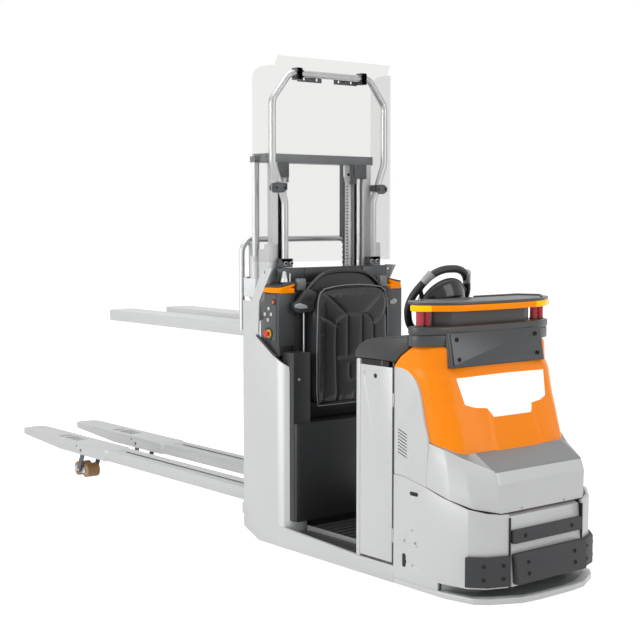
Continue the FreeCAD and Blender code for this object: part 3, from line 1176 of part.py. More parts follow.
def running_gear():
    """Lift links, bogies and load rollers under both load arms."""
    pivot_z = ROLLER_RADIUS
    drop = LINK_Z - pivot_z
    reach = math.sqrt(LINK_LENGTH ** 2 - drop ** 2)
    pivot_x = LINK_X - reach
    wall_y = PADDLE_WIDTH / 2
    for side, label in ((1, "left"), (-1, "right")):
        centre = side * ARM_Y
        link = [cylinder(LINK_X, centre - wall_y, LINK_Z, ROLLER_PIN, 2 * wall_y, V(0, 1, 0)),
                cylinder(LINK_X, centre - LINK_INNER, LINK_Z, ROLLER_PIN + 4.0, 2 * LINK_INNER, V(0, 1, 0))]
        for y in (centre - LINK_INNER - LINK_THICK, centre + LINK_INNER):
            along = V(pivot_x - LINK_X, 0, pivot_z - LINK_Z).normalize()
            across = V(-along.z, 0, along.x) * LINK_HALF
            a = V(LINK_X, y, LINK_Z)
            b = V(pivot_x, y, pivot_z)
            strap = prism([a + across, b + across, b - across, a - across], V(0, LINK_THICK, 0))
            ends = [cylinder(a.x, y, a.z, LINK_HALF, LINK_THICK, V(0, 1, 0)),
                    cylinder(b.x, y, b.z, LINK_HALF, LINK_THICK, V(0, 1, 0))]
            link.append(fused([strap] + ends))
        eye = cylinder(pivot_x, centre - 100.0, pivot_z, BOGIE_PIN + RUN_GAP, 200.0, V(0, 1, 0))
        node("lift_link_" + label, fused(link).cut(eye))
        bogie = []
        half = ROLLER_SPACING / 2
        for y in (centre - BOGIE_INNER - BOGIE_THICK, centre + BOGIE_INNER):
            bogie.append(box(pivot_x - half, pivot_x + half, y, y + BOGIE_THICK,
                             pivot_z - 16.0, pivot_z + 16.0))
            for x in (pivot_x - half, pivot_x + half):
                bogie.append(cylinder(x, y, pivot_z, 16.0, BOGIE_THICK, V(0, 1, 0)))
        for direction in (1, -1):
            start = centre + direction * BOGIE_INNER
            length = LINK_INNER + LINK_THICK - BOGIE_INNER
            bogie.append(cylinder(pivot_x, start, pivot_z, BOGIE_PIN, length, V(0, direction, 0)))
        for x in (pivot_x - half, pivot_x + half):
            bogie.append(cylinder(x, centre - BOGIE_INNER, pivot_z, ROLLER_PIN, 2 * BOGIE_INNER, V(0, 1, 0)))
        node("bogie_" + label, fused(bogie))
        for place, x in (("front", pivot_x - half), ("rear", pivot_x + half)):
            roller = cylinder(x, centre - ROLLER_HALF, pivot_z, ROLLER_RADIUS, 2 * ROLLER_HALF, V(0, 1, 0))
            bore = cylinder(x, centre - ROLLER_HALF - 1.0, pivot_z, ROLLER_PIN + RUN_GAP,
                            2 * ROLLER_HALF + 2.0, V(0, 1, 0))
            node("roller_" + place + "_" + label, roller.cut(bore))


def main():
    """Build every piece and write one file for each."""
    os.makedirs("parts", exist_ok=True)
    side_frames()
    platform()
    back_rest()
    control_pods()
    guard()
    battery_box()
    drive_end()
    bumper()
    console()
    steering()
    drive_frame()
    drive_unit()
    castor()
    load_section()
    inner_mast()
    carriage()
    running_gear()
    for name, shape in NODES.items():
        solids = len(shape.Solids)
        box_of = shape.BoundBox
        print(name, solids, shape.isValid(), round(shape.Volume / 1e6, 2),
              [round(v) for v in (box_of.XMin, box_of.XMax, box_of.YMin, box_of.YMax, box_of.ZMin, box_of.ZMax)])
        shape.exportStep("parts/" + name + ".step")


main()
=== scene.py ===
"""Looks of the order picker truck: finishes, rounded sheet metal and fine detail, in metres."""

import json
import logging
import math
from collections.abc import Callable
from dataclasses import dataclass
from enum import Enum

import bmesh
import bpy
from mathutils import Matrix, Vector


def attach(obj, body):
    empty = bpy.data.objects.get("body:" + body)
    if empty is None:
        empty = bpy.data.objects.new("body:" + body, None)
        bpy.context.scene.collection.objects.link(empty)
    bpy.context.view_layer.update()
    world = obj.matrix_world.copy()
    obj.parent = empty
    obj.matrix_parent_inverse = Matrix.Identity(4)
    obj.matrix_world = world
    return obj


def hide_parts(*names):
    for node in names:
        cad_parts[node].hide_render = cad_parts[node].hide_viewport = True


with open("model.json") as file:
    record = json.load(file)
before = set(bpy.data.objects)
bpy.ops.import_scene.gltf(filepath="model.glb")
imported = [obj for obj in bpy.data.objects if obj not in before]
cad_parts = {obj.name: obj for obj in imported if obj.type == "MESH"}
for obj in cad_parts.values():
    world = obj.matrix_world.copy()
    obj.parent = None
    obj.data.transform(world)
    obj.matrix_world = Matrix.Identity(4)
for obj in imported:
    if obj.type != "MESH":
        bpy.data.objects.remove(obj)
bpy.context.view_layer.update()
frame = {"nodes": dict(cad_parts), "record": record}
LOG = logging.getLogger("truck")
MM = 0.001
X_AXIS, Y_AXIS, Z_AXIS = Vector((1, 0, 0)), Vector((0, 1, 0)), Vector((0, 0, 1))
# A place or direction, in either of the forms that the shapes take
Point = Vector | tuple


class Surface(Enum):
    """How a finish's fine surface was made."""

    SMOOTH = "smooth"
    POWDER = "powder"
    GRAIN = "grain"
    LEATHER = "leather"
    BRUSHED = "brushed"
    RIBBED = "ribbed"


def linear(hex_colour: str) -> tuple[float, float, float, float]:
    """Turns an sRGB hex colour to linear values.

    Args:
        hex_colour: Six hex digits.

    Returns:
        Red, green, blue and an alpha of one.
    """
    values = []
    for start in (0, 2, 4):
        part = int(hex_colour[start:start + 2], 16) / 255
        values.append(part / 12.92 if part <= 0.04045 else ((part + 0.055) / 1.055) ** 2.4)
    return values[0], values[1], values[2], 1.0


def add_node(tree: bpy.types.NodeTree, kind: str, settings: dict | None = None, **links) -> bpy.types.Node:
    """Adds one node, sets its properties and sockets, and links its inputs.

    Args:
        tree: The node tree that it joins.
        kind: The node's type name.
        settings: Property names or input socket names with their values.
        links: Input socket names, spaces as underscores, with the output sockets that feed them.

    Returns:
        The new node.
    """
    node = tree.nodes.new(kind)
    for name, value in (settings or {}).items():
        if name in node.inputs:
            node.inputs[name].default_value = value
        else:
            setattr(node, name, value)
    for name, source in links.items():
        tree.links.new(source, node.inputs[name.replace("_", " ")])
    return node


def empty_tree(owner: bpy.types.Material | bpy.types.World) -> bpy.types.NodeTree:
    """Switches on the nodes of a material or world, and clears them.

    Args:
        owner: The material or world.

    Returns:
        Its empty node tree.
    """
    owner.use_nodes = True
    owner.node_tree.nodes.clear()
    return owner.node_tree


@dataclass(frozen=True)
class Finish:
    """One real finish: its colour, gloss and fine surface."""

    name: str
    colour: str
    roughness: float
    slot: str
    metallic: float = 0.0
    surface: Surface = Surface.SMOOTH
    scale_mm: float = 1.0
    bump_mm: float = 0.05
    shade: float = 0.04
    wear: float = 0.05
    coat: float = 0.0
    transmission: float = 0.0
    ior: float = 1.5
    # Emission: a lamp's own light on the lit lenses, painted light on the orange and white enamels
    glow: float = 0.0

    def build(self) -> bpy.types.Material:
        """Makes the material once and returns it.

        Returns:
            The material of this finish.
        """
        known = bpy.data.materials.get(self.name)
        if known:
            return known
        material = bpy.data.materials.new(self.name)
        tree = empty_tree(material)
        place = add_node(tree, "ShaderNodeTexCoord").outputs["Object"]
        # Slow drift of tone over a hand's width, as sprayed or moulded parts show
        cloud = add_node(tree, "ShaderNodeTexNoise", {"Scale": 6.0, "Detail": 3.0}, Vector=place)
        base = linear(self.colour)
        dark = tuple(channel * (1 - self.shade) for channel in base[:3]) + (1.0,)
        tone = add_node(tree, "ShaderNodeMix", {"data_type": "RGBA"})
        tone.inputs[6].default_value = dark
        tone.inputs[7].default_value = base
        tree.links.new(cloud.outputs["Fac"], tone.inputs[0])
        fine, distance = self.fine_height(tree, place)
        gloss = add_node(tree, "ShaderNodeMapRange", {
            "To Min": max(self.roughness - self.wear, 0.02), "To Max": min(self.roughness + self.wear, 1.0)},
            Value=fine)
        bump = add_node(tree, "ShaderNodeBump", {"Strength": 0.6, "Distance": distance}, Height=fine)
        shader = add_node(tree, "ShaderNodeBsdfPrincipled", {
            "Metallic": self.metallic, "Coat Weight": self.coat, "Coat Roughness": 0.12,
            "Transmission Weight": self.transmission, "Emission Strength": self.glow, "Emission Color": base},
            Base_Color=tone.outputs[2], Roughness=gloss.outputs["Result"], Normal=bump.outputs["Normal"])
        if self.metallic < 0.5:
            shader.inputs["IOR"].default_value = self.ior
        add_node(tree, "ShaderNodeOutputMaterial", Surface=shader.outputs["BSDF"])
        return material

    def fine_height(self, tree: bpy.types.NodeTree, place: bpy.types.NodeSocket) -> tuple:
        """Adds the fine pattern of the surface.

        Args:
            tree: The material's node tree.
            place: The object coordinates.

        Returns:
            The height socket from 0 to 1, and the bump distance in metres.
        """
        per_metre = 1.0 / (self.scale_mm * MM)
        if self.surface in (Surface.LEATHER, Surface.GRAIN):
            cells = add_node(tree, "ShaderNodeTexVoronoi", {
                "Scale": per_metre, "Randomness": 0.9, "feature": "SMOOTH_F1", "Smoothness": 0.5},
                Vector=place)
            return cells.outputs["Distance"], self.bump_mm * MM
        if self.surface is Surface.BRUSHED:
            # Brush marks run along X: the pattern is forty times longer that way
            long_marks = add_node(tree, "ShaderNodeMapping", {"Scale": (0.025, 1.0, 1.0)}, Vector=place)
            marks = add_node(tree, "ShaderNodeTexNoise", {"Scale": per_metre, "Detail": 2.0},
                             Vector=long_marks.outputs["Vector"])
            return marks.outputs["Fac"], self.bump_mm * MM
        if self.surface is Surface.RIBBED:
            # This texture has 20 waves in 6.28 units, so a rib and a groove are each one scale wide
            ribs = add_node(tree, "ShaderNodeTexWave", {
                "Scale": per_metre / 6.28, "Distortion": 0.0, "bands_direction": "X"}, Vector=place)
            return ribs.outputs["Fac"], self.bump_mm * MM
        detail = 4.0 if self.surface is Surface.POWDER else 1.0
        noise = add_node(tree, "ShaderNodeTexNoise", {"Scale": per_metre, "Detail": detail}, Vector=place)
        return noise.outputs["Fac"], self.bump_mm * MM


# Powder coated sheet steel: a pale silver grey with a soft satin glint and faint orange peel, 2 mm across
SILVER = Finish("silver_powder_coat", "CDCECE", 0.36, "silver_paint", 0.15, Surface.POWDER, 2.0, 0.012, 0.03)
# Painted shade: the same coat, darker, on the steel faces that lean up, standing in for their reflection of
# the dark side of the room
SILVER_PAINTED_SHADE = Finish("silver_powder_coat_painted_shade", "8E9091", 0.34, "silver_paint", 0.45, Surface.POWDER, 2.0,
                      0.012, 0.10)
# Satin white powder coat on small brackets, a little grainy
WHITE = Finish("white_powder_coat", "E4E5E6", 0.35, "white_paint", 0.0, Surface.POWDER, 2.0, 0.012, 0.03)
# Gloss white enamel panel set into the hood, smooth under a clear coat; its glow is painted light that keeps
# it bright
WHITE_PANEL = Finish("white_gloss_enamel_painted_glow", "FCFCFC", 0.22, "white_paint", 0.0, Surface.SMOOTH, 30.0, 0.01,
                     0.02, coat=0.4, glow=0.32)
# Orange enamel on the moulded hood: saturated, with a clear coat's soft reflections, and a glow that is
# painted light over the whole hood
ORANGE = Finish("orange_enamel_painted_glow", "FF8D10", 0.28, "orange_paint", 0.0, Surface.SMOOTH, 25.0, 0.015, 0.05,
                coat=0.10, ior=1.22, glow=0.16)
# Anthracite powder coat on cast and welded parts: matt and faintly grainy
ANTHRACITE = Finish("anthracite_powder_coat", "56585B", 0.45, "dark_paint", 0.1, Surface.POWDER, 1.6, 0.03,
                    0.08)
# Mid grey coat on the mast head, lighter than the castings
MAST_GREY = Finish("mid_grey_powder_coat", "77797C", 0.42, "dark_paint", 0.2, Surface.POWDER, 1.6, 0.02, 0.06)
# Moulded ABS covers, spark grained: near black with a soft wide highlight
BLACK_PLASTIC = Finish("grained_black_abs", "2B2C2E", 0.42, "black_plastic", 0.0, Surface.GRAIN, 1.4, 0.05,
                       0.10)
# The console's moulding is a warmer dark grey
CONSOLE_PLASTIC = Finish("grained_grey_abs", "434547", 0.36, "black_plastic", 0.0, Surface.GRAIN, 1.4, 0.04,
                         0.08)
# Polished black cap of the steering hub
GLOSS_BLACK = Finish("polished_black_abs", "18191A", 0.14, "black_plastic", 0.0, Surface.SMOOTH, 30.0, 0.01,
                     0.05, wear=0.03)
# Blank plate of the console: rolled sheet under a grey coat that still glints
PLATE = Finish("grey_coated_plate", "4A4C4E", 0.34, "dark_paint", 0.55, Surface.POWDER, 1.6, 0.02, 0.06)
# Soft touch elastomer on the steering ring
RING_RUBBER = Finish("soft_touch_elastomer", "1F2022", 0.48, "black_plastic", 0.0, Surface.GRAIN, 0.8, 0.03,
                     0.08)
# Foil faced switch panel, a little lighter than the pod
PANEL_GREY = Finish("grey_switch_panel", "4C4E50", 0.40, "dark_paint", 0.1, Surface.POWDER, 1.2, 0.02, 0.06)
# Moulded grey inserts of the ring
RING_GREY = Finish("light_grey_abs", "A9ABAD", 0.35, "black_plastic", 0.0, Surface.GRAIN, 1.2, 0.02, 0.04)
# Dense EPDM rubber: dull, dark, bloomed a little grey
RUBBER = Finish("dense_rubber", "343537", 0.62, "black_rubber", 0.0, Surface.POWDER, 1.2, 0.06, 0.14)
# Floor mat rubber, darker and coarser
MAT_RUBBER = Finish("floor_mat_rubber", "1C1D1E", 0.66, "black_rubber", 0.0, Surface.GRAIN, 2.2, 0.12, 0.15)
# Synthetic leather: 2 mm pebble grain with a soft sheen
LEATHER = Finish("black_synthetic_leather", "18191B", 0.36, "pad_leather", 0.0, Surface.LEATHER, 2.0, 0.08,
                 0.10)
# Seam and piping leather, pulled smooth, in a light grey: a painted highlight along the pad's rim
PIPING_PAINTED_HIGHLIGHT = Finish("piping_leather_painted_highlight", "8A8C8E", 0.26, "pad_leather", 0.0, Surface.LEATHER, 1.2, 0.03, 0.05)
# The pad's side panels of plain stretched leather, a lighter grey than the face: painted light on the pad's
# sides
LEATHER_SIDE_PAINTED_LIGHT = Finish("side_leather_painted_light", "3C3E40", 0.34, "pad_leather", 0.0, Surface.LEATHER, 2.0,
                      0.05, 0.12)
# Clear polycarbonate, 4 mm: nearly invisible, with bright edges
CLEAR = Finish("clear_polycarbonate", "EDEDEC", 0.04, "clear_sheet", 0.0, Surface.SMOOTH, 80.0, 0.002, 0.01,
               wear=0.01, transmission=1.0, ior=1.12)
# Satin drawn steel tube, brushed along its length
STEEL = Finish("satin_drawn_steel", "C9CACB", 0.33, "satin_steel", 0.75, Surface.BRUSHED, 0.9, 0.01, 0.05)
# Ground and chromed rod: bright, with faint turning marks
CHROME = Finish("hard_chromed_rod", "DADBDC", 0.14, "bright_steel", 1.0, Surface.BRUSHED, 0.8, 0.004, 0.02)
# The same rods where they stand before the pale room, in a copy of the chrome that stays a tone darker:
# painted shade
ROD_PAINTED_SHADE = Finish("chrome_rod_painted_shade", "B9BBBD", 0.30, "bright_steel", 0.55, Surface.BRUSHED, 0.8, 0.004,
                   0.02)
# Zinc plated fasteners, slightly yellowed and dull
ZINC = Finish("zinc_plated_fastener", "B4B5B4", 0.36, "satin_steel", 1.0, Surface.POWDER, 0.8, 0.02, 0.08)
# Blackened fasteners, oiled
BLACK_BOLT = Finish("blackened_fastener", "1B1C1D", 0.38, "dark_paint", 0.6, Surface.POWDER, 0.8, 0.02, 0.08)
# Chain plates: dark steel under oil
CHAIN = Finish("oiled_chain_steel", "4A4B4D", 0.36, "chain_steel", 0.85, Surface.POWDER, 1.0, 0.03, 0.2)
# Amber lens with the lamps on behind it
AMBER = Finish("lit_amber_lens", "FA8C00", 0.24, "amber_lens", 0.0, Surface.RIBBED, 9.0, 0.10, 0.18,
               ior=1.2, glow=0.30)
# The same lens where a lamp sits close behind it
AMBER_BRIGHT = Finish("bright_amber_lens", "FFBE00", 0.24, "amber_lens", 0.0, Surface.RIBBED, 9.0, 0.10, 0.12,
                      ior=1.2, glow=0.40)
# Red ribbed lens, unlit
RED = Finish("red_lens", "9E1B2B", 0.20, "red_lens", 0.0, Surface.SMOOTH, 20.0, 0.01, 0.15, coat=0.4)
# Button caps in gloss ABS
BUTTON_WHITE = Finish("white_button_cap", "D9DAD6", 0.30, "button_plastic", 0.0, Surface.SMOOTH, 8.0, 0.01)
BUTTON_RED = Finish("red_button_cap", "D8261C", 0.30, "button_plastic", 0.0, Surface.SMOOTH, 8.0, 0.01)
BUTTON_YELLOW = Finish("yellow_button_ring", "F2C215", 0.32, "button_plastic", 0.0, Surface.SMOOTH, 8.0, 0.01)
BUTTON_ORANGE = Finish("orange_button_cap", "E8641B", 0.32, "button_plastic", 0.0, Surface.SMOOTH, 8.0, 0.01)
# Cast polyurethane tyres: dark on the drive wheel, honey tan on the load rollers
TYRE = Finish("dark_cast_polyurethane", "2A2A2A", 0.55, "wheel_tyre", 0.0, Surface.POWDER, 1.5, 0.05, 0.12)
TAN_TYRE = Finish("tan_cast_polyurethane", "A5794A", 0.42, "roller_tyre", 0.0, Surface.POWDER, 1.5, 0.03,
                  0.12, coat=0.2)
CREAM = Finish("cream_nylon_ring", "CFC6AE", 0.40, "roller_tyre", 0.0, Surface.POWDER, 1.5, 0.02, 0.06)
# Battery trough: rough dark steel
TROUGH = Finish("battery_trough_steel", "3A3B3D", 0.60, "battery_steel", 0.4, Surface.POWDER, 2.5, 0.10, 0.15)
# Painted shade: a near black for the unlit inside of a hole or gap
HOLLOW_SHADE = Finish("shadowed_recess", "0B0B0C", 0.70, "black_plastic", 0.0, Surface.POWDER, 2.0, 0.02, 0.05)


class Shape:
    """A mesh in the making, shaped with mesh operators."""

    def __init__(self) -> None:
        """Starts with an empty mesh."""
        self.bm = bmesh.new()

    def soften(self, verts: list, width: float, segments: int = 2, angle: float = 25.0) -> None:
        """Rounds the sharp edges among some vertices.

        Args:
            verts: The vertices whose edges are looked at.
            width: The radius in metres.
            segments: Rows of faces in the rounding.
            angle: Degrees between faces from which an edge is sharp.
        """
        chosen = set(verts)
        edges = [edge for edge in self.bm.edges
                 if edge.verts[0] in chosen and edge.verts[1] in chosen and len(edge.link_faces) == 2
                 and edge.calc_face_angle(0.0) > math.radians(angle)]
        if width > 0 and edges:
            self.bevel(edges, width, segments)

    def bevel(self, edges: list, width: float, segments: int) -> list:
        """Rounds some edges, whatever the angle between their faces.

        Args:
            edges: The edges.
            width: The radius in metres.
            segments: Rows of faces in the rounding.

        Returns:
            The faces of the rounding.
        """
        return bmesh.ops.bevel(self.bm, geom=edges, offset=width, offset_type="OFFSET", segments=segments,
                               profile=0.5, affect="EDGES", clamp_overlap=True, material=-1)["faces"]

    def edges_along(self, verts: list, direction: Vector) -> list:
        """The edges among some vertices that run along a direction.

        Args:
            verts: The vertices.
            direction: The direction, one metre long.

        Returns:
            The edges.
        """
        chosen = set(verts)
        return [edge for edge in self.bm.edges if set(edge.verts) <= chosen
                and abs((edge.verts[1].co - edge.verts[0].co).normalized().dot(direction)) > 0.9]

    def take(self, node: str) -> None:
        """Takes over the mesh of a CAD node, with its flat faces merged.

        Args:
            node: The node's name.
        """
        self.bm.from_mesh(frame["nodes"][node].data)
        bmesh.ops.remove_doubles(self.bm, verts=self.bm.verts, dist=0.02 * MM)
        bmesh.ops.dissolve_limit(self.bm, angle_limit=math.radians(0.8), use_dissolve_boundaries=False,
                                 verts=self.bm.verts, edges=self.bm.edges, delimit=set())

    def block(self, low: Point, high: Point, round_by: float = 0.0) -> None:
        """A block between two corners.

        Args:
            low: The lowest corner.
            high: The highest corner.
            round_by: Radius of its edges.
        """
        low, high = Vector(low), Vector(high)
        matrix = Matrix.Translation((low + high) / 2) @ Matrix.Diagonal((*(high - low), 1.0))
        self.soften(bmesh.ops.create_cube(self.bm, size=1.0, matrix=matrix)["verts"], round_by)

    def both_sides(self, low: tuple, high: tuple, round_by: float = 0.0) -> None:
        """The same block on the truck's left and right side.

        Args:
            low: The lowest corner of the left one.
            high: The highest corner of the left one.
            round_by: Radius of its edges.
        """
        for sign in (1, -1):
            near, far = sorted((sign * low[1], sign * high[1]))
            self.block((low[0], near, low[2]), (high[0], far, high[2]), round_by)

    def bar(self, start: Point, end: Point, radius: float, sides: int = 24, end_radius: float | None = None,
            round_by: float = 0.0) -> None:
        """A round or many sided bar from one point to another.

        Args:
            start: The middle of the first end.
            end: The middle of the last end.
            radius: The radius at the first end.
            sides: How many sides it has.
            end_radius: The radius at the last end, if it differs.
            round_by: Radius of its end edges.
        """
        start, end = Vector(start), Vector(end)
        turn = (end - start).to_track_quat("Z", "Y").to_matrix().to_4x4()
        verts = bmesh.ops.create_cone(
            self.bm, cap_ends=True, cap_tris=False, segments=sides, radius1=radius,
            radius2=radius if end_radius is None else end_radius, depth=(end - start).length,
            matrix=Matrix.Translation((start + end) / 2) @ turn)["verts"]
        self.soften(verts, round_by, angle=50.0)

    def prism(self, corners: list, vector: Point, round_by: float = 0.0, segments: int = 2) -> list:
        """A closed outline swept along a vector.

        Args:
            corners: The outline's corners in order.
            vector: How far it is swept.
            round_by: Radius of its edges.
            segments: Rows of faces in the rounding.

        Returns:
            Its vertices before the rounding.
        """
        ring = [self.bm.verts.new(corner) for corner in corners]
        face = self.bm.faces.new(ring)
        moved = bmesh.ops.extrude_face_region(self.bm, geom=[face])["geom"]
        top = [item for item in moved if isinstance(item, bmesh.types.BMVert)]
        bmesh.ops.translate(self.bm, vec=Vector(vector), verts=top)
        verts = ring + top
        faces = {found for vert in verts for found in vert.link_faces}
        bmesh.ops.recalc_face_normals(self.bm, faces=list(faces))
        self.soften(verts, round_by, segments)
        return verts

    def spun(self, profile: tuple | list, centre: Point, axis: Point, steps: int = 32) -> None:
        """A closed profile turned a full circle about an axis.

        Args:
            profile: Rows of (distance from the axis, place along the axis).
            centre: A point on the axis.
            axis: The axis direction.
            steps: How many segments the circle has.
        """
        centre, axis = Vector(centre), Vector(axis).normalized()
        side = axis.orthogonal().normalized()
        verts = [self.bm.verts.new(centre + side * reach + axis * along) for reach, along in profile]
        edges = [self.bm.edges.new(ends) for ends in zip(verts, verts[1:])]
        bmesh.ops.spin(self.bm, geom=verts + edges, cent=centre, axis=axis, dvec=(0, 0, 0),
                       angle=2 * math.pi, steps=steps, use_merge=True, use_duplicate=False)
        bmesh.ops.remove_doubles(self.bm, verts=self.bm.verts, dist=0.01 * MM)

    def tube(self, points: list, radius: float, sides: int = 12) -> None:
        """A closed round tube through points, with mitred joints.

        Args:
            points: The middle line.
            radius: The tube's radius.
            sides: How many sides it has.
        """
        points = [Vector(point) for point in points]
        rings = []
        upright = Z_AXIS if abs((points[1] - points[0]).normalized().z) < 0.9 else X_AXIS
        for index, point in enumerate(points):
            before = points[max(index - 1, 0)]
            after = points[min(index + 1, len(points) - 1)]
            along = (after - before).normalized()
            across = along.cross(upright).normalized()
            turn = Matrix((across, along.cross(across), along)).transposed().to_4x4()
            made = bmesh.ops.create_circle(self.bm, cap_ends=False, segments=sides, radius=radius,
                                           matrix=Matrix.Translation(point) @ turn)["verts"]
            edges = {edge for vert in made for edge in vert.link_edges}
            rings.append(list(edges))
        for first, second in zip(rings, rings[1:]):
            bmesh.ops.bridge_loops(self.bm, edges=first + second)
        bmesh.ops.holes_fill(self.bm, edges=rings[0] + rings[-1], sides=sides)

    def loop(self, points: list, radius: float, sides: int = 16) -> None:
        """A round tube that closes on itself.

        Args:
            points: The middle line, all round.
            radius: The tube's radius.
            sides: How many sides it has.
        """
        middle = sum(points, Vector()) / len(points)
        rings = []
        for index, point in enumerate(points):
            along = (points[(index + 1) % len(points)] - points[index - 1]).normalized()
            out = (point - middle).normalized()
            side = along.cross(out).normalized()
            turn = Matrix((side.cross(along), side, along)).transposed().to_4x4()
            made = bmesh.ops.create_circle(self.bm, cap_ends=False, segments=sides, radius=radius,
                                           matrix=Matrix.Translation(point) @ turn)["verts"]
            rings.append(list({edge for vert in made for edge in vert.link_edges}))
        for first, second in zip(rings, rings[1:] + rings[:1]):
            bmesh.ops.bridge_loops(self.bm, edges=first + second)

    def sheet(self, columns: int, rows: int, place: Callable[[float, float], Vector], outside: Point,
              thick: float) -> None:
        """A grid laid on a surface, with a thickness.

        Args:
            columns: Faces along the first direction.
            rows: Faces along the second.
            place: Gives the point for two shares from 0 to 1.
            outside: The direction that the sheet mostly faces.
            thick: How far it is thickened inwards.
        """
        made = bmesh.ops.create_grid(self.bm, x_segments=columns, y_segments=rows, size=1.0)["verts"]
        for vert in made:
            vert.co = place((vert.co.x + 1) / 2, (vert.co.y + 1) / 2)
        faces = list({face for vert in made for face in vert.link_faces})
        for face in faces:
            face.normal_update()
        if sum((face.normal * face.calc_area() for face in faces), Vector()).dot(Vector(outside)) < 0:
            bmesh.ops.reverse_faces(self.bm, faces=faces)
        bmesh.ops.solidify(self.bm, geom=faces, thickness=thick)

    def mirror(self) -> None:
        """Adds the same shape on the truck's other side."""
        geom = self.bm.verts[:] + self.bm.edges[:] + self.bm.faces[:]
        made = bmesh.ops.mirror(self.bm, geom=geom, merge_dist=0.0, axis="Y")["geom"]
        faces = [item for item in made if isinstance(item, bmesh.types.BMFace)]
        bmesh.ops.recalc_face_normals(self.bm, faces=faces)

    def release(self, name: str) -> bpy.types.Object:
        """Turns the mesh to an object in the scene, with no finish yet.

        Args:
            name: The object's name.

        Returns:
            The object.
        """
        mesh = bpy.data.meshes.new(name)
        self.bm.to_mesh(mesh)
        self.bm.free()
        made = bpy.data.objects.new(name, mesh)
        bpy.context.scene.collection.objects.link(made)
        return made

    def piece(self, name: str, finish: Finish, body: str = "chassis", replaces: tuple = (),
              smooth_angle: float = 35.0) -> bpy.types.Object:
        """Turns the mesh to an object that rides on a body.

        Args:
            name: The object's name.
            finish: Its finish.
            body: The body that it rides on.
            replaces: CAD nodes that it stands for.
            smooth_angle: Degrees under which neighbouring faces shade as one.

        Returns:
            The finished object.
        """
        bmesh.ops.recalc_face_normals(self.bm, faces=self.bm.faces)
        made = self.release(name)
        made.data.shade_smooth()
        made.data.set_sharp_from_angle(angle=math.radians(smooth_angle))
        made.data.materials.append(finish.build())
        return settle(made, body, replaces)


def settle(made: bpy.types.Object, body: str, replaces: tuple) -> bpy.types.Object:
    """Attaches a piece to its body, hides the nodes it replaces, and reports it.

    Args:
        made: The piece.
        body: The body that it rides on.
        replaces: CAD nodes that it stands for.

    Returns:
        The same piece.
    """
    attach(made, body)
    if replaces:
        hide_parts(*replaces)
    LOG.info("%s rides on %s with %d faces", made.name, body, len(made.data.polygons))
    return made


def body_with(node: str) -> str:
    """The body that a CAD node belongs to.

    Args:
        node: The node's name.

    Returns:
        The body's name.
    """
    bodies = frame["record"]["behaviour"]["bodies"]
    return next(body for body, members in bodies.items() if node in members)


@dataclass
class NodeDress:
    """Gives each CAD node its finish, and sheet metal nodes a copy with rounded edges."""

    # Finish, nodes
    plain: tuple = (
        (SILVER, "lift_cylinders"),
        (BLACK_PLASTIC, "back_panel"),
        (RING_RUBBER, "steering_ring"),
        (ANTHRACITE, "floor_frame drive_frame drive_turret castor_fork lift_link_left lift_link_right"),
        (GLOSS_BLACK, "steering_column steering_hub"),
        (CLEAR, "guard_screen"),
        (STEEL, "floor_edges guard_frame load_guard bogie_left bogie_right"),
        (ANTHRACITE, "pad_bow"),
        (ROD_PAINTED_SHADE, "lift_rods"),
        (CHAIN, "mast_chains"),
        (TROUGH, "battery_block"),
        (TYRE, "drive_wheel castor_wheels"),
        (TAN_TYRE, "roller_front_left roller_front_right roller_rear_left roller_rear_right"),
        (MAT_RUBBER, "floor_mats"),
        (SILVER, "drive_panels nose_cover"),
        (ORANGE, "hood"),
        (CONSOLE_PLASTIC, "console_base console_counter"),
        (ANTHRACITE, "badge_plate guard_clamps"),
        (RED, "beacons"),
        (AMBER, "light_strip"),
        (RUBBER, "bumper_pads"),
        (BLACK_PLASTIC, "hip_supports"),
        (LEATHER, "back_pad"),
        (BUTTON_WHITE, "pod_buttons"),
    )
    # Finish, radius in millimetres, nodes
    rounded: tuple = (
        (SILVER, 1.5, "side_frames battery_door_left battery_door_right load_arms upper_forks"),
        (SILVER, 1.2, "outer_mast inner_mast"),
        (SILVER, 4.0, "battery_frame"),
        (SILVER, 3.0, "drive_shell skirt bumper_box"),
        (WHITE, 2.0, "cylinder_clamps"),
        (ANTHRACITE, 1.5, "fork_carriage"),
        (MAST_GREY, 2.0, "mast_crossbeam"),
        (BLACK_PLASTIC, 5.0, "lower_cover control_pods"),
        (BLACK_PLASTIC, 8.0, "compartment_lid"),
        (AMBER, 5.0, "pod_lamps"),
    )

    def build(self) -> None:
        """Dresses every CAD node."""
        for finish, names in self.plain:
            for name in names.split():
                self.assign(name, finish)
        for finish, radius, names in self.rounded:
            for name in names.split():
                self.assign(name, finish)
                self.rounded_copy(name, finish, radius * MM)

    @staticmethod
    def assign(name: str, finish: Finish) -> None:
        """Puts a finish on a CAD node's own slots.

        Args:
            name: The node.
            finish: Its finish.
        """
        mesh = frame["nodes"][name].data
        if not mesh.materials:
            mesh.materials.append(None)
        for index in range(len(mesh.materials)):
            mesh.materials[index] = finish.build()

    def rounded_copy(self, name: str, finish: Finish, radius: float) -> None:
        """Stands a copy with rounded edges in for a node.

        Args:
            name: The node.
            finish: Its finish.
            radius: Radius of the rounded edges in metres.
        """
        shape = Shape()
        shape.take(name)
        shape.soften(shape.bm.verts[:], radius, 2, 30.0)
        shape.piece(name + "_dressed", finish, body_with(name), (name,), 32.0)


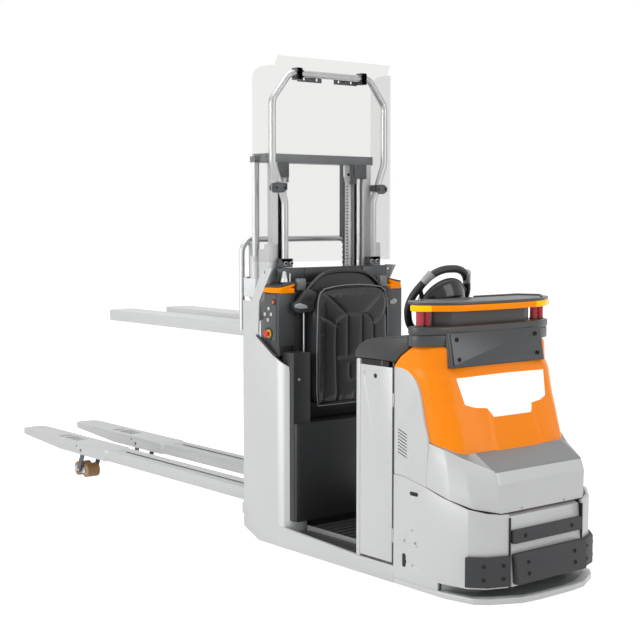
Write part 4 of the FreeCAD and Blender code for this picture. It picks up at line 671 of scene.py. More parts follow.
@dataclass
class Studio:
    """Pale floor, soft light and the camera of the photograph."""

    place: Vector = Vector((5.773, -4.187, 1.599))
    azimuth: float = 50.95
    pitch: float = -4.44
    focal_pixels: float = 1320.87
    frame_pixels: float = 640.0
    sensor_mm: float = 36.0
    world_light: float = 0.38
    # Name, place, point aimed at, width, height, watts
    lamps: tuple = (
        ("ceiling_softbox", (0.5, -0.8, 5.2), (0.4, 0.0, 0.6), 5.0, 4.0, 120.0),
        ("front_softbox", (5.6, 1.4, 2.6), (1.2, 0.0, 0.8), 2.6, 2.6, 52.0),
        ("side_softbox", (0.2, -5.4, 2.2), (0.6, 0.0, 0.9), 4.0, 2.4, 125.0),
    )

    def build(self) -> None:
        """Sets up the camera, the world, the floor and the lamps."""
        scene = bpy.context.scene
        scene.view_settings.view_transform = "Standard"
        turn, lean = math.radians(self.azimuth), math.radians(self.pitch)
        forward = Vector((-math.sin(turn) * math.cos(lean), math.cos(turn) * math.cos(lean), math.sin(lean)))
        lens = bpy.data.cameras.new("camera")
        lens.sensor_width = self.sensor_mm
        lens.lens = self.focal_pixels / self.frame_pixels * self.sensor_mm
        camera = bpy.data.objects.new("camera", lens)
        view = forward.to_track_quat("-Z", "Y").to_matrix().to_4x4()
        camera.matrix_world = Matrix.Translation(self.place) @ view
        scene.collection.objects.link(camera)
        scene.camera = camera
        self.sky()
        self.floor()
        for name, place, aim, width, height, watts in self.lamps:
            lamp = bpy.data.lights.new(name, "AREA")
            lamp.shape = "RECTANGLE"
            lamp.size, lamp.size_y, lamp.energy = width, height, watts
            stand = bpy.data.objects.new(name, lamp)
            aim_at = (Vector(aim) - Vector(place)).to_track_quat("-Z", "Y").to_matrix().to_4x4()
            stand.matrix_world = Matrix.Translation(place) @ aim_at
            scene.collection.objects.link(stand)

    def shown(self, tree: bpy.types.NodeTree) -> bpy.types.NodeSocket:
        """One where a ray comes from the camera, a mirror or a clear sheet.

        Args:
            tree: The node tree that asks.

        Returns:
            The socket with that value.
        """
        path = add_node(tree, "ShaderNodeLightPath")
        first = add_node(tree, "ShaderNodeMath", {"operation": "MAXIMUM"})
        tree.links.new(path.outputs["Is Camera Ray"], first.inputs[0])
        tree.links.new(path.outputs["Is Glossy Ray"], first.inputs[1])
        second = add_node(tree, "ShaderNodeMath", {"operation": "MAXIMUM"})
        tree.links.new(first.outputs[0], second.inputs[0])
        tree.links.new(path.outputs["Is Transmission Ray"], second.inputs[1])
        return second.outputs[0]

    def sky(self) -> None:
        """White where it is seen, and a plain even light elsewhere."""
        world = bpy.data.worlds.new("studio")
        tree = empty_tree(world)
        strength = add_node(tree, "ShaderNodeMapRange", {"To Min": self.world_light, "To Max": 1.0},
                            Value=self.shown(tree))
        light = add_node(tree, "ShaderNodeBackground", {"Color": (1.0, 1.0, 1.0, 1.0)},
                         Strength=strength.outputs["Result"])
        add_node(tree, "ShaderNodeOutputWorld", Surface=light.outputs["Background"])
        bpy.context.scene.world = world

    def floor(self) -> None:
        """A wide pale floor that fades to white where it is seen."""
        shape = Shape()
        bmesh.ops.create_grid(shape.bm, x_segments=2, y_segments=2, size=30.0)
        floor = shape.release("floor")
        material = bpy.data.materials.new("pale_floor")
        tree = empty_tree(material)
        matt = add_node(tree, "ShaderNodeBsdfDiffuse", {"Color": (0.84, 0.84, 0.84, 1.0)})
        white = add_node(tree, "ShaderNodeEmission", {"Color": (1.0, 1.0, 1.0, 1.0), "Strength": 1.8})
        share = add_node(tree, "ShaderNodeMath", {"operation": "MULTIPLY"})
        tree.links.new(self.shown(tree), share.inputs[0])
        share.inputs[1].default_value = 0.55
        mixed = add_node(tree, "ShaderNodeMixShader", None, Fac=share.outputs[0])
        tree.links.new(matt.outputs["BSDF"], mixed.inputs[1])
        tree.links.new(white.outputs["Emission"], mixed.inputs[2])
        add_node(tree, "ShaderNodeOutputMaterial", Surface=mixed.outputs["Shader"])
        floor.data.materials.append(material)


def smooth_step(low: float, high: float, value: float) -> float:
    """Rises softly from zero at low to one at high.

    Args:
        low: Where the rise starts; it may lie above high.
        high: Where it ends.
        value: The place asked for.

    Returns:
        A share from 0 to 1.
    """
    share = min(max((value - low) / (high - low), 0.0), 1.0)
    return share * share * (3 - 2 * share)


def between(rows: tuple, place: float) -> float:
    """Reads a table of (place, amount) rows, straight between the rows.

    Args:
        rows: The table, by rising place.
        place: Where it is read.

    Returns:
        The amount there.
    """
    if place <= rows[0][0]:
        return rows[0][1]
    for (low, first), (high, second) in zip(rows, rows[1:]):
        if place <= high:
            return first + (second - first) * (place - low) / (high - low)
    return rows[-1][1]


def screw(shape: Shape, at: Point, out: Point, radius: float, rise: float, sides: int = 24) -> None:
    """A round screw head with a round socket.

    Args:
        shape: The shape that it joins.
        at: The middle of its seat.
        out: The direction that it points.
        radius: The head's radius.
        rise: How far it stands out.
        sides: How many sides the head has.
    """
    at, out = Vector(at), Vector(out).normalized()
    shape.spun([(0.0, rise * 0.35), (radius * 0.5, rise * 0.35), (radius * 0.52, rise), (radius * 0.85, rise),
                (radius, rise * 0.7), (radius, -0.5 * MM)], at, out, sides)


@dataclass
class Hood:
    """The orange hood: a superellipse in plan that leans back, with its white inset panel."""

    centre_x: float = 1.600
    half: float = 0.398
    power: float = 4.0
    low_z: float = 0.600
    top_radius: float = 0.022
    # Depth of the steps in the front, then half width at the foot and top of its raised middle
    recess: float = 0.005
    middle_half: float = 0.160
    middle_top: float = 0.800
    # Height, X of the middle of the front
    fronts: tuple = ((0.600, 1.980), (0.756, 1.9265), (0.816, 1.903), (0.924, 1.874), (0.935, 1.868),
                     (0.965, 1.845), (1.058, 1.840))
    # X, height of the top edge: it rises along the lid's front to the console
    tops: tuple = ((1.606, 0.977), (1.643, 1.015), (1.690, 1.045), (1.716, 1.058))
    # X up to which, and height below which, the skin steps in behind the side panel's louvres
    step_in: tuple = (1.725, 0.725, 0.026)
    # X, height of the lower edge: it falls along the nose's rim to the corner and rises under the front
    rims: tuple = ((1.800, 0.662), (1.811, 0.660), (1.844, 0.652), (1.886, 0.634), (1.916, 0.618),
                   (1.939, 0.609), (1.950, 0.600))
    # Height, Y of the crease between side and front
    creases: tuple = ((0.600, 0.308), (0.965, 0.290), (1.058, 0.286))
    # Height, half width of the white panel
    panel: tuple = ((0.756, 0.115), (0.792, 0.138), (0.800, 0.205), (0.814, 0.250), (0.924, 0.271))

    def front_offset(self, y: float, z: float) -> float:
        """How far the front face stands back or forward of the plain surface.

        Args:
            y: Sideways place.
            z: Height.

        Returns:
            The distance along X.
        """
        crease = between(self.creases, z)
        inner = smooth_step(crease, crease - 0.030, abs(y))
        half = self.middle_half - 0.1 * (z - self.low_z)
        below = smooth_step(self.middle_top, self.middle_top - 0.025, z)
        middle = smooth_step(half, half - 0.020, abs(y)) * below
        return self.recess * (middle * 0.8 - inner)

    def point(self, turn: float, share: float) -> Vector:
        """A point of the outer surface.

        Args:
            turn: Angle in plan, 0 at the left side and pi at the right.
            share: Share of the way up from the low edge to the top edge.

        Returns:
            The point in metres.
        """
        scale = (abs(math.cos(turn)) ** self.power + abs(math.sin(turn)) ** self.power) ** (-1 / self.power)
        top_x = self.centre_x + (self.fronts[-1][1] - self.centre_x) * scale * math.sin(turn)
        top = between(self.tops, top_x)
        foot_x = self.centre_x + (self.fronts[0][1] - self.centre_x) * scale * math.sin(turn)
        low = between(self.rims, foot_x) if foot_x > self.step_in[0] else self.low_z
        z = low + (top - low) * share
        reach = between(self.fronts, z) - self.centre_x
        shrink = 0.0
        rounding = z - (top - self.top_radius)
        if rounding > 0:
            shrink = self.top_radius - math.sqrt(max(self.top_radius ** 2 - rounding ** 2, 0.0))
        x = self.centre_x + (reach - shrink) * scale * math.sin(turn)
        y = (self.half - shrink) * scale * math.cos(turn)
        far_x, far_z, depth = self.step_in
        inward = depth * smooth_step(far_x, far_x - 0.01, x) * smooth_step(far_z, far_z - 0.01, z)
        return Vector((x + self.front_offset(y, z), y - math.copysign(inward, y), z))

    def front_x(self, y: float, z: float) -> float:
        """X of the surface at a place of the front.

        Args:
            y: Sideways place.
            z: Height.

        Returns:
            X in metres.
        """
        reach = between(self.fronts, z) - self.centre_x
        share = 1 - abs(y / self.half) ** self.power
        return self.centre_x + reach * share ** (1 / self.power) + self.front_offset(y, z)

    def build(self) -> None:
        """Makes the hood's skin and the white panel."""
        shape = Shape()
        shape.sheet(160, 76, lambda u, v: self.point(0.03 + (math.pi - 0.06) * u, v), (1, 0, 0), 8 * MM)
        shape.piece("hood_skin", ORANGE, "chassis", ("hood",), 40.0)

        def on_panel(u: float, v: float) -> Vector:
            """A point of the white panel, a little proud of the skin.

            Args:
                u: Share of the way across.
                v: Share of the way up.

            Returns:
                The point in metres.
            """
            z = self.panel[0][0] + (self.panel[-1][0] - self.panel[0][0]) * v
            y = (u * 2 - 1) * between(self.panel, z)
            return Vector((self.front_x(y, z) + 1.6 * MM, y, z + 0.006 * (1 - (y / 0.27) ** 2) * v))

        shape = Shape()
        shape.sheet(60, 42, on_panel, (1, 0, 0), 4 * MM)
        shape.piece("hood_panel", WHITE_PANEL, "chassis", (), 40.0)


@dataclass
class DriveEnd:
    """Side panels, nose, bumper and skirt of the drive compartment."""

    side: float = 0.400
    panel_depth: float = 0.020
    # Low X, high X, low Z and high Z of the side panels' louvres
    louvres: tuple = (1.630, 1.695, 0.570, 0.700)
    # The nose's faces that lean up more than this, above this height, take the silver with painted shade
    nose_split: float = 0.620
    shade_from: float = 0.552
    # Corners of the nose's left half, (x, y, z), from the side panel to the front
    nose_low: tuple = ((1.811, 0.399, 0.470), (1.930, 0.388, 0.436), (2.030, 0.345, 0.407),
                       (2.103, 0.253, 0.388))
    nose_rim: tuple = ((1.811, 0.397, 0.660), (1.886, 0.366, 0.634), (1.950, 0.330, 0.604),
                       (2.083, 0.268, 0.558))
    nose_top: tuple = ((1.811, 0.385, 0.662), (1.886, 0.352, 0.640), (1.939, 0.300, 0.618),
                       (1.965, 0.270, 0.624))
    # Share of the way from the side to the middle at each corner; the rest is the flat front
    nose_shares: tuple = (0.0, 0.20, 0.38, 0.58)
    # Share of the way up to the rim, how far the skin stands out there
    nose_folds: tuple = ((0.0, 0.0), (0.17, 0.006), (0.70, 0.013), (1.0, 0.0))
    rim_share: float = 0.62
    # Low Z, high Z, X of the face at both, depth, half width, screws (y, z)
    pads: tuple = (
        (0.261, 0.317, 2.120, 2.1145, 0.022, 0.216, ((-0.145, 0.290), (0.145, 0.290))),
        (0.094, 0.221, 2.137, 2.124, 0.030, 0.216,
         ((-0.145, 0.183), (0.145, 0.183), (-0.145, 0.135), (0.145, 0.135))),
    )
    # The corner pad's back and face in plan, (x, y) from the side to the front, and its low and high Z
    corner_back: tuple = ((2.024, 0.378), (2.085, 0.320), (2.122, 0.229))
    corner_face: tuple = ((2.032, 0.392), (2.102, 0.331), (2.139, 0.231))
    corner_heights: tuple = (0.090, 0.216)
    # The ledge under the nose in plan, (x, y) from the side to the front
    ledge_outside: tuple = ((1.905, 0.392), (2.024, 0.364), (2.078, 0.314), (2.112, 0.229))
    ledge_inside: tuple = ((1.905, 0.360), (2.000, 0.330), (2.060, 0.290), (2.095, 0.229))
    # The skirt's folded plate in plan, and one of its upright ends
    skirt_plate: tuple = ((1.995, 0.255), (1.893, 0.290), (1.893, 0.380), (1.945, 0.368), (2.045, 0.342),
                          (2.085, 0.300), (2.140, 0.190), (2.150, 0.080))
    skirt_wall: tuple = ((1.993, 0.262), (1.888, 0.382), (1.893, 0.386), (1.998, 0.265))
    # X, height of the lower shell's top edge
    shell_edge: tuple = ((1.668, 0.497), (1.811, 0.468), (2.101, 0.385))

    def build(self) -> None:
        """Makes each part of the drive end."""
        self.side_panels()
        self.nose()
        self.bumper()
        self.side_details()

    def beside_louvres(self, shape: Shape) -> list:
        """The vertices of the side panels that aren't part of a louvre.

        Args:
            shape: The side panels.

        Returns:
            The vertices.
        """
        low_x, high_x, low_z, high_z = self.louvres
        return [vert for vert in shape.bm.verts
                if not (low_x < vert.co.x < high_x and low_z < vert.co.z < high_z)]

    def side_panels(self) -> None:
        """The side panels as thick pressings with a full round edge and deep louvres."""
        shape = Shape()
        shape.take("drive_panels")
        for vert in shape.bm.verts:
            if abs(vert.co.y) < self.side - 4 * MM:
                vert.co.y = math.copysign(self.side - self.panel_depth, vert.co.y)
        outline = set(self.beside_louvres(shape))
        corners = [edge for edge in shape.bm.edges
                   if edge.verts[0] in outline and edge.verts[1] in outline
                   and abs(edge.verts[0].co.y - edge.verts[1].co.y) > 1 * MM and edge.verts[0].co.x > 1.66
                   and edge.verts[0].co.z > 0.6]
        shape.bevel(corners, 0.028, 4)
        shape.soften(self.beside_louvres(shape), 5.5 * MM, 4, 40.0)
        shape.piece("drive_panels_pressed", SILVER, "chassis", ("drive_panels",), 40.0)

    def nose_point(self, along: float, up: float) -> Vector:
        """A point of the nose's skin, straight between the rows of its tables.

        Args:
            along: Share of the way round, from the left side to the right.
            up: Share of the way up, from the lower edge over the rim to the hood's foot.

        Returns:
            The point in metres.
        """
        side = 1 if along < 0.5 else -1
        reach = (0.5 - abs(along - 0.5)) * 2
        rows = []
        for row in (self.nose_low, self.nose_rim, self.nose_top):
            rows.append([between(tuple(zip(self.nose_shares, column)), reach) for column in zip(*row)])
        low, rim, top = (Vector(row) for row in rows)
        last = self.nose_shares[-1]
        if reach > last:
            for point in (low, rim, top):
                point.y *= (1 - reach) / (1 - last)
        if up < self.rim_share:
            share = up / self.rim_share
            point = low.lerp(rim, share)
            bulge = between(self.nose_folds, share)
            point.x += bulge * min(reach / last, 1.0)
            point.y += bulge * 0.4 * min(reach, 1 - reach) * 2
        else:
            point = rim.lerp(top, (up - self.rim_share) / (1 - self.rim_share))
        return Vector((point.x, point.y * side, point.z))

    def nose(self) -> None:
        """The nose cover with rounded creases; its upper facets take the silver with painted shade."""

        def rounded(u: float, v: float) -> Vector:
            """The skin's point averaged over a few neighbours, which rounds its creases.

            Args:
                u: Share of the way round.
                v: Share of the way up.

            Returns:
                The point in metres.
            """
            total = Vector()
            for du in (-0.004, 0.0, 0.004):
                for dv in (-0.012, 0.0, 0.012):
                    total += self.nose_point(min(max(u + du, 0.0), 1.0), min(max(v + dv, 0.0), 1.0))
            return total / 9

        shape = Shape()
        shape.sheet(150, 44, rounded, (1, 0, 0), 2.5 * MM)
        made = shape.piece("nose_shell", SILVER, "chassis", ("nose_cover",), 40.0)
        # Faces that lean up take the darker silver: painted shade set by the way they face
        made.data.materials.append(SILVER_PAINTED_SHADE.build())
        for polygon in made.data.polygons:
            if polygon.normal.z > self.nose_split and polygon.center.z > self.shade_from:
                polygon.material_index = 1
        bolts = Shape()
        for y in (-0.132, 0.133):
            screw(bolts, (2.104, y, 0.398), (1, 0, 0.1), 5.5 * MM, 3 * MM)
        bolts.piece("nose_screws", ZINC)

    def bumper(self) -> None:
        """Rubber pads with round corners and their screws."""
        pads, screws = Shape(), Shape()
        for low, high, face_low, face_high, depth, half, places in self.pads:
            lean = (face_high - face_low) / (high - low)
            corners = [(face_low, -half, low), (face_low, half, low), (face_high, half, high),
                       (face_high, -half, high)]
            out = Vector((1, 0, -lean)).normalized()
            verts = pads.prism([Vector(corner) for corner in corners], out * depth)
            pads.bevel(pads.edges_along(verts, out), 0.010, 4)
            for y, z in places:
                x = face_low + (z - low) * lean + depth
                screw(screws, (x, y, z), out, 9 * MM, 3 * MM)
        # Each corner pad wraps the shell's corner
        low, high = self.corner_heights
        outer = self.corner_face
        pads.prism([Vector((x, y, low)) for x, y in self.corner_back + outer[::-1]], (0, 0, high - low))
        for (x0, y0), (x1, y1), share in ((outer[0], outer[1], 0.84), (outer[1], outer[2], 0.68)):
            x, y = x0 + (x1 - x0) * share, y0 + (y1 - y0) * share
            out = Vector((y0 - y1, x1 - x0, 0)).normalized()
            for z in (0.124, 0.180):
                screw(screws, (x, y, z), out, 8 * MM, 3 * MM)
                screw(screws, (x, -y, z), (out.x, -out.y, 0), 8 * MM, 3 * MM)
        corner = [face for face in pads.bm.faces if face.calc_center_median().y > 0.228]
        geom = {item for face in corner for item in (*face.verts, *face.edges, face)}
        bmesh.ops.mirror(pads.bm, geom=list(geom), merge_dist=0.0, axis="Y")
        bmesh.ops.recalc_face_normals(pads.bm, faces=pads.bm.faces)
        pads.soften(pads.bm.verts[:], 3.5 * MM, 3, 40.0)
        pads.piece("bumper_rubbers", RUBBER, "chassis", ("bumper_pads",))
        screws.piece("bumper_screws", BLACK_BOLT)

    def side_details(self) -> None:
        """Screws, the slotted tab and the near black liners of the holes in the shell's sides, which paint
        the shade inside them.
        """
        bolts, tab, liner = Shape(), Shape(), Shape()
        for sign in (1, -1):
            out = (0, sign, 0)
            for x, z in ((1.723, 0.271), (1.728, 0.122)):
                screw(bolts, (x, sign * self.side, z), out, 5 * MM, 2.5 * MM)
            for x, z in ((1.679, 0.221), (1.745, 0.221)):
                screw(bolts, (x, sign * (self.side + 2 * MM), z), out, 5 * MM, 2.5 * MM)
            for low_x, low_z, high_x, high_z in ((1.711, 0.422, 1.762, 0.439), (1.665, 0.104, 1.687, 0.164)):
                face, back = sorted((sign * (self.side - 3 * MM), sign * (self.side + 0.5 * MM)))
                corners = []
                reach = min(high_x - low_x, high_z - low_z) / 2
                for step in range(24):
                    turn = 2 * math.pi * (step + 0.5) / 24
                    x = (high_x - reach if math.cos(turn) > 0 else low_x + reach) + reach * math.cos(turn)
                    z = (high_z - reach if math.sin(turn) > 0 else low_z + reach) + reach * math.sin(turn)
                    corners.append(Vector((x, face, z)))
                liner.prism(corners, (0, back - face, 0))
        bolts.piece("drive_screws", ZINC)
        tab.both_sides((1.636, self.side - 2 * MM, 0.202), (1.756, self.side + 2 * MM, 0.213), 1 * MM)
        tab.piece("side_tabs", SILVER)
        # Painted shade: near black liners in the seams on both sides of the bumper box, and in the space
        # behind the louvres
        liner.both_sides((2.060, 0.2218, 0.092), (2.128, 0.2278, 0.372))
        liner.both_sides((1.622, 0.374, 0.560), (1.705, 0.380, 0.712))
        liner.piece("hole_shade_liners", HOLLOW_SHADE)
        self.ledges()

    def ledges(self) -> None:
        """The shell's folded top edge under the nose, and the folded plate inside the skirt."""
        shelf, plate = Shape(), Shape()
        outer, inner = self.ledge_outside, self.ledge_inside
        for sign in (1, -1):
            for (first, last), (third, fourth) in zip(zip(outer, outer[1:]), zip(inner, inner[1:])):
                corners = []
                for x, y in (first, last, fourth, third):
                    corners.append(Vector((x, sign * y, between(self.shell_edge, x) - 5 * MM)))
                shelf.prism(corners, (0, 0, -4 * MM))
        # The ledge takes the mid grey coat: painted shade in the seam under the nose
        shelf.piece("shell_ledges", MAST_GREY)
        # The plate and its walls take the darker silver: painted shade inside the skirt
        ring = self.skirt_plate + tuple((x, -y) for x, y in reversed(self.skirt_plate))
        plate.prism([Vector((x, y, 0.034)) for x, y in ring], (0, 0, 0.008))
        plate.block((1.993, -0.262, 0.036), (1.998, 0.262, 0.092))
        for sign in (1, -1):
            plate.prism([Vector((x, sign * y, 0.036)) for x, y in self.skirt_wall], (0, 0, 0.056))
        plate.piece("skirt_floor", SILVER_PAINTED_SHADE)


@dataclass
class Console:
    """Two part console moulding, blank plate, beacons, lit strip and counter."""

    base_low: float = 1.058
    parting: float = 1.106
    base_high: float = 1.141
    strip_low: float = 1.207
    strip_high: float = 1.232
    plate_low: Vector = Vector((1.8465, 0.0, 0.972))
    plate_high: Vector = Vector((1.8195, 0.0, 1.112))
    plate_half: float = 0.276
    # Left halves in plan, (x, y) from the back to the front
    base_rows: tuple = ((1.684, 0.410), (1.766, 0.410), (1.816, 0.300), (1.822, 0.140))
    tray_rows: tuple = ((1.690, 0.300), (1.740, 0.300), (1.790, 0.230))
    strip_rows: tuple = ((1.694, 0.410), (1.772, 0.410), (1.862, 0.270), (1.880, 0.080))
    counter_rows: tuple = ((1.622, 0.338), (1.690, 0.404), (1.768, 0.406), (1.856, 0.268), (1.874, 0.080))
    # Y where the strip's tone changes
    tone_ends: tuple = (-0.365, 0.21)
    beacon_x: float = 1.738

    @staticmethod
    def plan(rows: tuple, grow: float = 0.0) -> list:
        """Both sides of a plan from rows (x, y) that run from the back to the front.

        Args:
            rows: The left half.
            grow: How much wider and longer it is made.

        Returns:
            Corners all round.
        """
        left = [(x + (grow if index else 0.0), y + grow) for index, (x, y) in enumerate(rows)]
        return left + [(x, -y) for x, y in reversed(left)]

    def slab(self, shape: Shape, rows: tuple, low: float, high: float, round_by: float, grow: float = 0.0,
             corner: float = 0.02) -> None:
        """A flat moulding with rounded upright corners.

        Args:
            shape: The shape that it joins.
            rows: Its left half in plan.
            low: Its lowest height.
            high: Its highest height.
            round_by: Radius of the top and bottom edges.
            grow: How much wider it is than the rows.
            corner: Radius of the upright corners.
        """
        ring = [Vector((x, y, low)) for x, y in self.plan(rows, grow)]
        verts = shape.prism(ring, (0, 0, high - low))
        made = shape.bevel(shape.edges_along(verts, Z_AXIS), corner, 5)
        around = {vert for face in made for vert in face.verts} | {vert for vert in verts if vert.is_valid}
        shape.soften(list(around), round_by, 3, 50.0)

    def build(self) -> None:
        """Makes each part of the console."""
        base = Shape()
        for low, high, round_by, grow in (
                (self.base_low, self.parting - 1 * MM, 4 * MM, -2 * MM),
                (self.parting + 1 * MM, self.base_high, 7 * MM, 0.0),
                (self.parting - 2 * MM, self.parting + 2 * MM, 0.0, -6 * MM)):
            self.slab(base, self.base_rows, low, high, round_by, grow, 0.035)
        # The chin carries the plate: a raised frame with rounded corners
        chin = [Vector((1.846, 0.293, 0.965)), Vector((1.846, -0.293, 0.965)),
                Vector((1.8175, -0.293, 1.118)), Vector((1.8175, 0.293, 1.118))]
        verts = base.prism(chin, (-0.085, 0, 0))
        base.soften(verts, 7 * MM, 4, 40.0)
        self.slab(base, self.tray_rows, self.base_high - 4 * MM, self.strip_low + 1 * MM, 2 * MM)
        base.piece("console_moulding", CONSOLE_PLASTIC, "chassis", ("console_base",))
        self.plate()
        self.beacons()
        self.strip()
        counter = Shape()
        self.slab(counter, self.counter_rows, self.strip_high, self.strip_high + 13 * MM, 4 * MM, corner=0.04)
        # A low rim round the far rear part of the counter
        for start, end in (((1.640, 0.050), (1.640, 0.330)), ((1.640, 0.330), (1.735, 0.385)),
                           ((1.735, 0.385), (1.815, 0.300))):
            z = self.strip_high + 15 * MM
            counter.bar((*start, z), (*end, z), 5 * MM, 16)
        counter.piece("counter_top", CONSOLE_PLASTIC, "chassis", ("console_counter",))

    def strip(self) -> None:
        """The lit strip, in a brighter tone at both ends."""
        strip = Shape()
        self.slab(strip, self.strip_rows, self.strip_low - 1 * MM, self.strip_high, 6 * MM, corner=0.04)
        low, high = self.tone_ends
        for y in self.tone_ends:
            geom = strip.bm.verts[:] + strip.bm.edges[:] + strip.bm.faces[:]
            bmesh.ops.bisect_plane(strip.bm, geom=geom, plane_co=(0, y, 0), plane_no=(0, 1, 0), dist=1e-5)
        made = strip.piece("light_strip_lens", AMBER, "chassis", ("light_strip",))
        made.data.materials.append(AMBER_BRIGHT.build())
        for polygon in made.data.polygons:
            if polygon.center.y < low or polygon.center.y > high:
                polygon.material_index = 1

    def plate(self) -> None:
        """The blank plate on the chin with a bright bevelled edge and four socket screws."""
        shape, screws = Shape(), Shape()
        low, high = self.plate_low, self.plate_high
        out = Vector((high.z - low.z, 0, low.x - high.x)).normalized()
        corners = [low + Y_AXIS * self.plate_half, low - Y_AXIS * self.plate_half,
                   high - Y_AXIS * self.plate_half, high + Y_AXIS * self.plate_half]
        verts = shape.prism(corners, out * 4 * MM)
        shape.bevel(shape.edges_along(verts, out), 0.010, 4)
        shape.soften(shape.bm.verts[:], 2.2 * MM, 2, 50.0)
        shape.piece("badge_blank", PLATE, "chassis", ("badge_plate",))
        for y in (-0.245, 0.245):
            for share in (0.2, 0.8):
                at = low + (high - low) * share + out * 3.5 * MM + Y_AXIS * y
                screw(screws, at, out, 9.5 * MM, 5 * MM)
        screws.piece("badge_screws", BLACK_BOLT)

    def beacons(self) -> None:
        """Red lenses in pairs, ribbed along their height, between dark collars."""
        lens, collar = Shape(), Shape()
        x = self.beacon_x
        for y in (-0.374, -0.334, 0.334, 0.374):
            lens.bar((x, y, self.base_high), (x, y, self.strip_low), 14.5 * MM, 24)
            for step in range(12):
                turn = 2 * math.pi * step / 12
                foot = Vector((x + 14 * MM * math.cos(turn), y + 14 * MM * math.sin(turn),
                               self.base_high + 4 * MM))
                lens.bar(foot, foot + Vector((0, 0, 0.056)), 2.2 * MM, 8)
            for z in (self.base_high, self.strip_low - 5 * MM):
                collar.bar((x, y, z), (x, y, z + 5 * MM), 18 * MM, 28, round_by=1 * MM)
        lens.piece("beacon_lenses", RED, "chassis", ("beacons",))
        collar.piece("beacon_collars", CONSOLE_PLASTIC)


@dataclass
class SteeringSet:
    """Ring sleeves, the rod between ring and hub, and the glossy bell below."""

    centre: Vector = Vector((1.460, 0.0, 1.225))
    tilt: float = 60.0
    radius: float = 0.192
    tube: float = 0.016
    # (Distance from the axis, place along the axis) of the domed cap and of the rim round it
    cap: tuple = ((0.0, 0.001), (0.062, 0.0), (0.096, -0.002), (0.116, -0.008), (0.126, -0.015),
                  (0.131, -0.026), (0.127, -0.038), (0.1165, -0.050), (0.104, -0.066), (0.089, -0.082),
                  (0.060, -0.098), (0.0, -0.104))
    rim: tuple = ((0.1255, -0.0135), (0.1315, -0.019), (0.1332, -0.026), (0.1308, -0.034), (0.124, -0.039))

    def at(self, turn: float, reach: float = 1.0, lift: float = 0.0) -> Vector:
        """A place on the ring's plane.

        Args:
            turn: Degrees from the front, rising to the left.
            reach: Share of the ring's corner radius.
            lift: Metres above the plane.

        Returns:
            The point.
        """
        tilt = math.radians(self.tilt)
        ahead = Vector((math.cos(tilt), 0, math.sin(tilt)))
        up = Vector((-math.sin(tilt), 0, math.cos(tilt)))
        angle = math.radians(turn)
        return (self.centre + ahead * (self.radius * reach * math.cos(angle))
                + Y_AXIS * (self.radius * reach * math.sin(angle)) + up * lift)

    def build(self) -> None:
        """Makes the ring with its grips, the sleeves, the rod and the domed cap."""
        self.ring()
        sleeves, rods, levers = Shape(), Shape(), Shape()
        for near, far in ((30, 90), (-30, -90)):
            first, last = self.at(near), self.at(far)
            start, end = first.lerp(last, 0.12), first.lerp(last, 0.42)
            sleeves.bar(start, end, self.tube + 5 * MM, 28, self.tube + 2 * MM, 2 * MM)
            # A short arm runs from each sleeve to the cap
            levers.bar(first.lerp(last, 0.55), self.at(far, 0.55, -0.022), 9 * MM, 20, 12 * MM, 1 * MM)
        rods.bar(self.at(-30).lerp(self.at(-90), 0.3), self.at(-90, 0.62, 0.004), 3.2 * MM, 16)
        sleeves.piece("ring_sleeves", RING_GREY, "steering")
        rods.piece("ring_rod", STEEL, "steering")
        levers.piece("ring_arms", RING_RUBBER, "steering")
        up = (self.at(0, 0, 1.0) - self.centre).normalized()
        cap = Shape()
        cap.spun(self.cap, self.centre, up, 64)
        cap.piece("steering_cap", GLOSS_BLACK, "steering", ("steering_hub",), 30.0)
        rim = Shape()
        rim.spun(self.rim, self.centre, up, 64)
        rim.piece("cap_rim", CONSOLE_PLASTIC, "steering")
        collar = Shape()
        collar.bar((1.580, 0.0, 1.098), (1.566, 0.0, 1.160), 0.075, 40, 0.045, 3 * MM)
        collar.piece("column_collar", BLACK_PLASTIC, "chassis", ("steering_column",))

    def ring(self) -> None:
        """The six sided ring with round corners."""
        shape = Shape()
        path = []
        # A corner's rounding reaches this share of the way to the next corners
        reach = 0.44
        for turn in range(30, 390, 60):
            corner = self.at(turn)
            start, end = corner.lerp(self.at(turn - 60), reach), corner.lerp(self.at(turn + 60), reach)
            for part in range(11):
                share = part / 10
                path.append(start.lerp(corner, share).lerp(corner.lerp(end, share), share))
        shape.loop(path, self.tube + 1.5 * MM, 24)
        shape.piece("steering_ring_grips", RING_RUBBER, "steering", ("steering_ring",), 40.0)


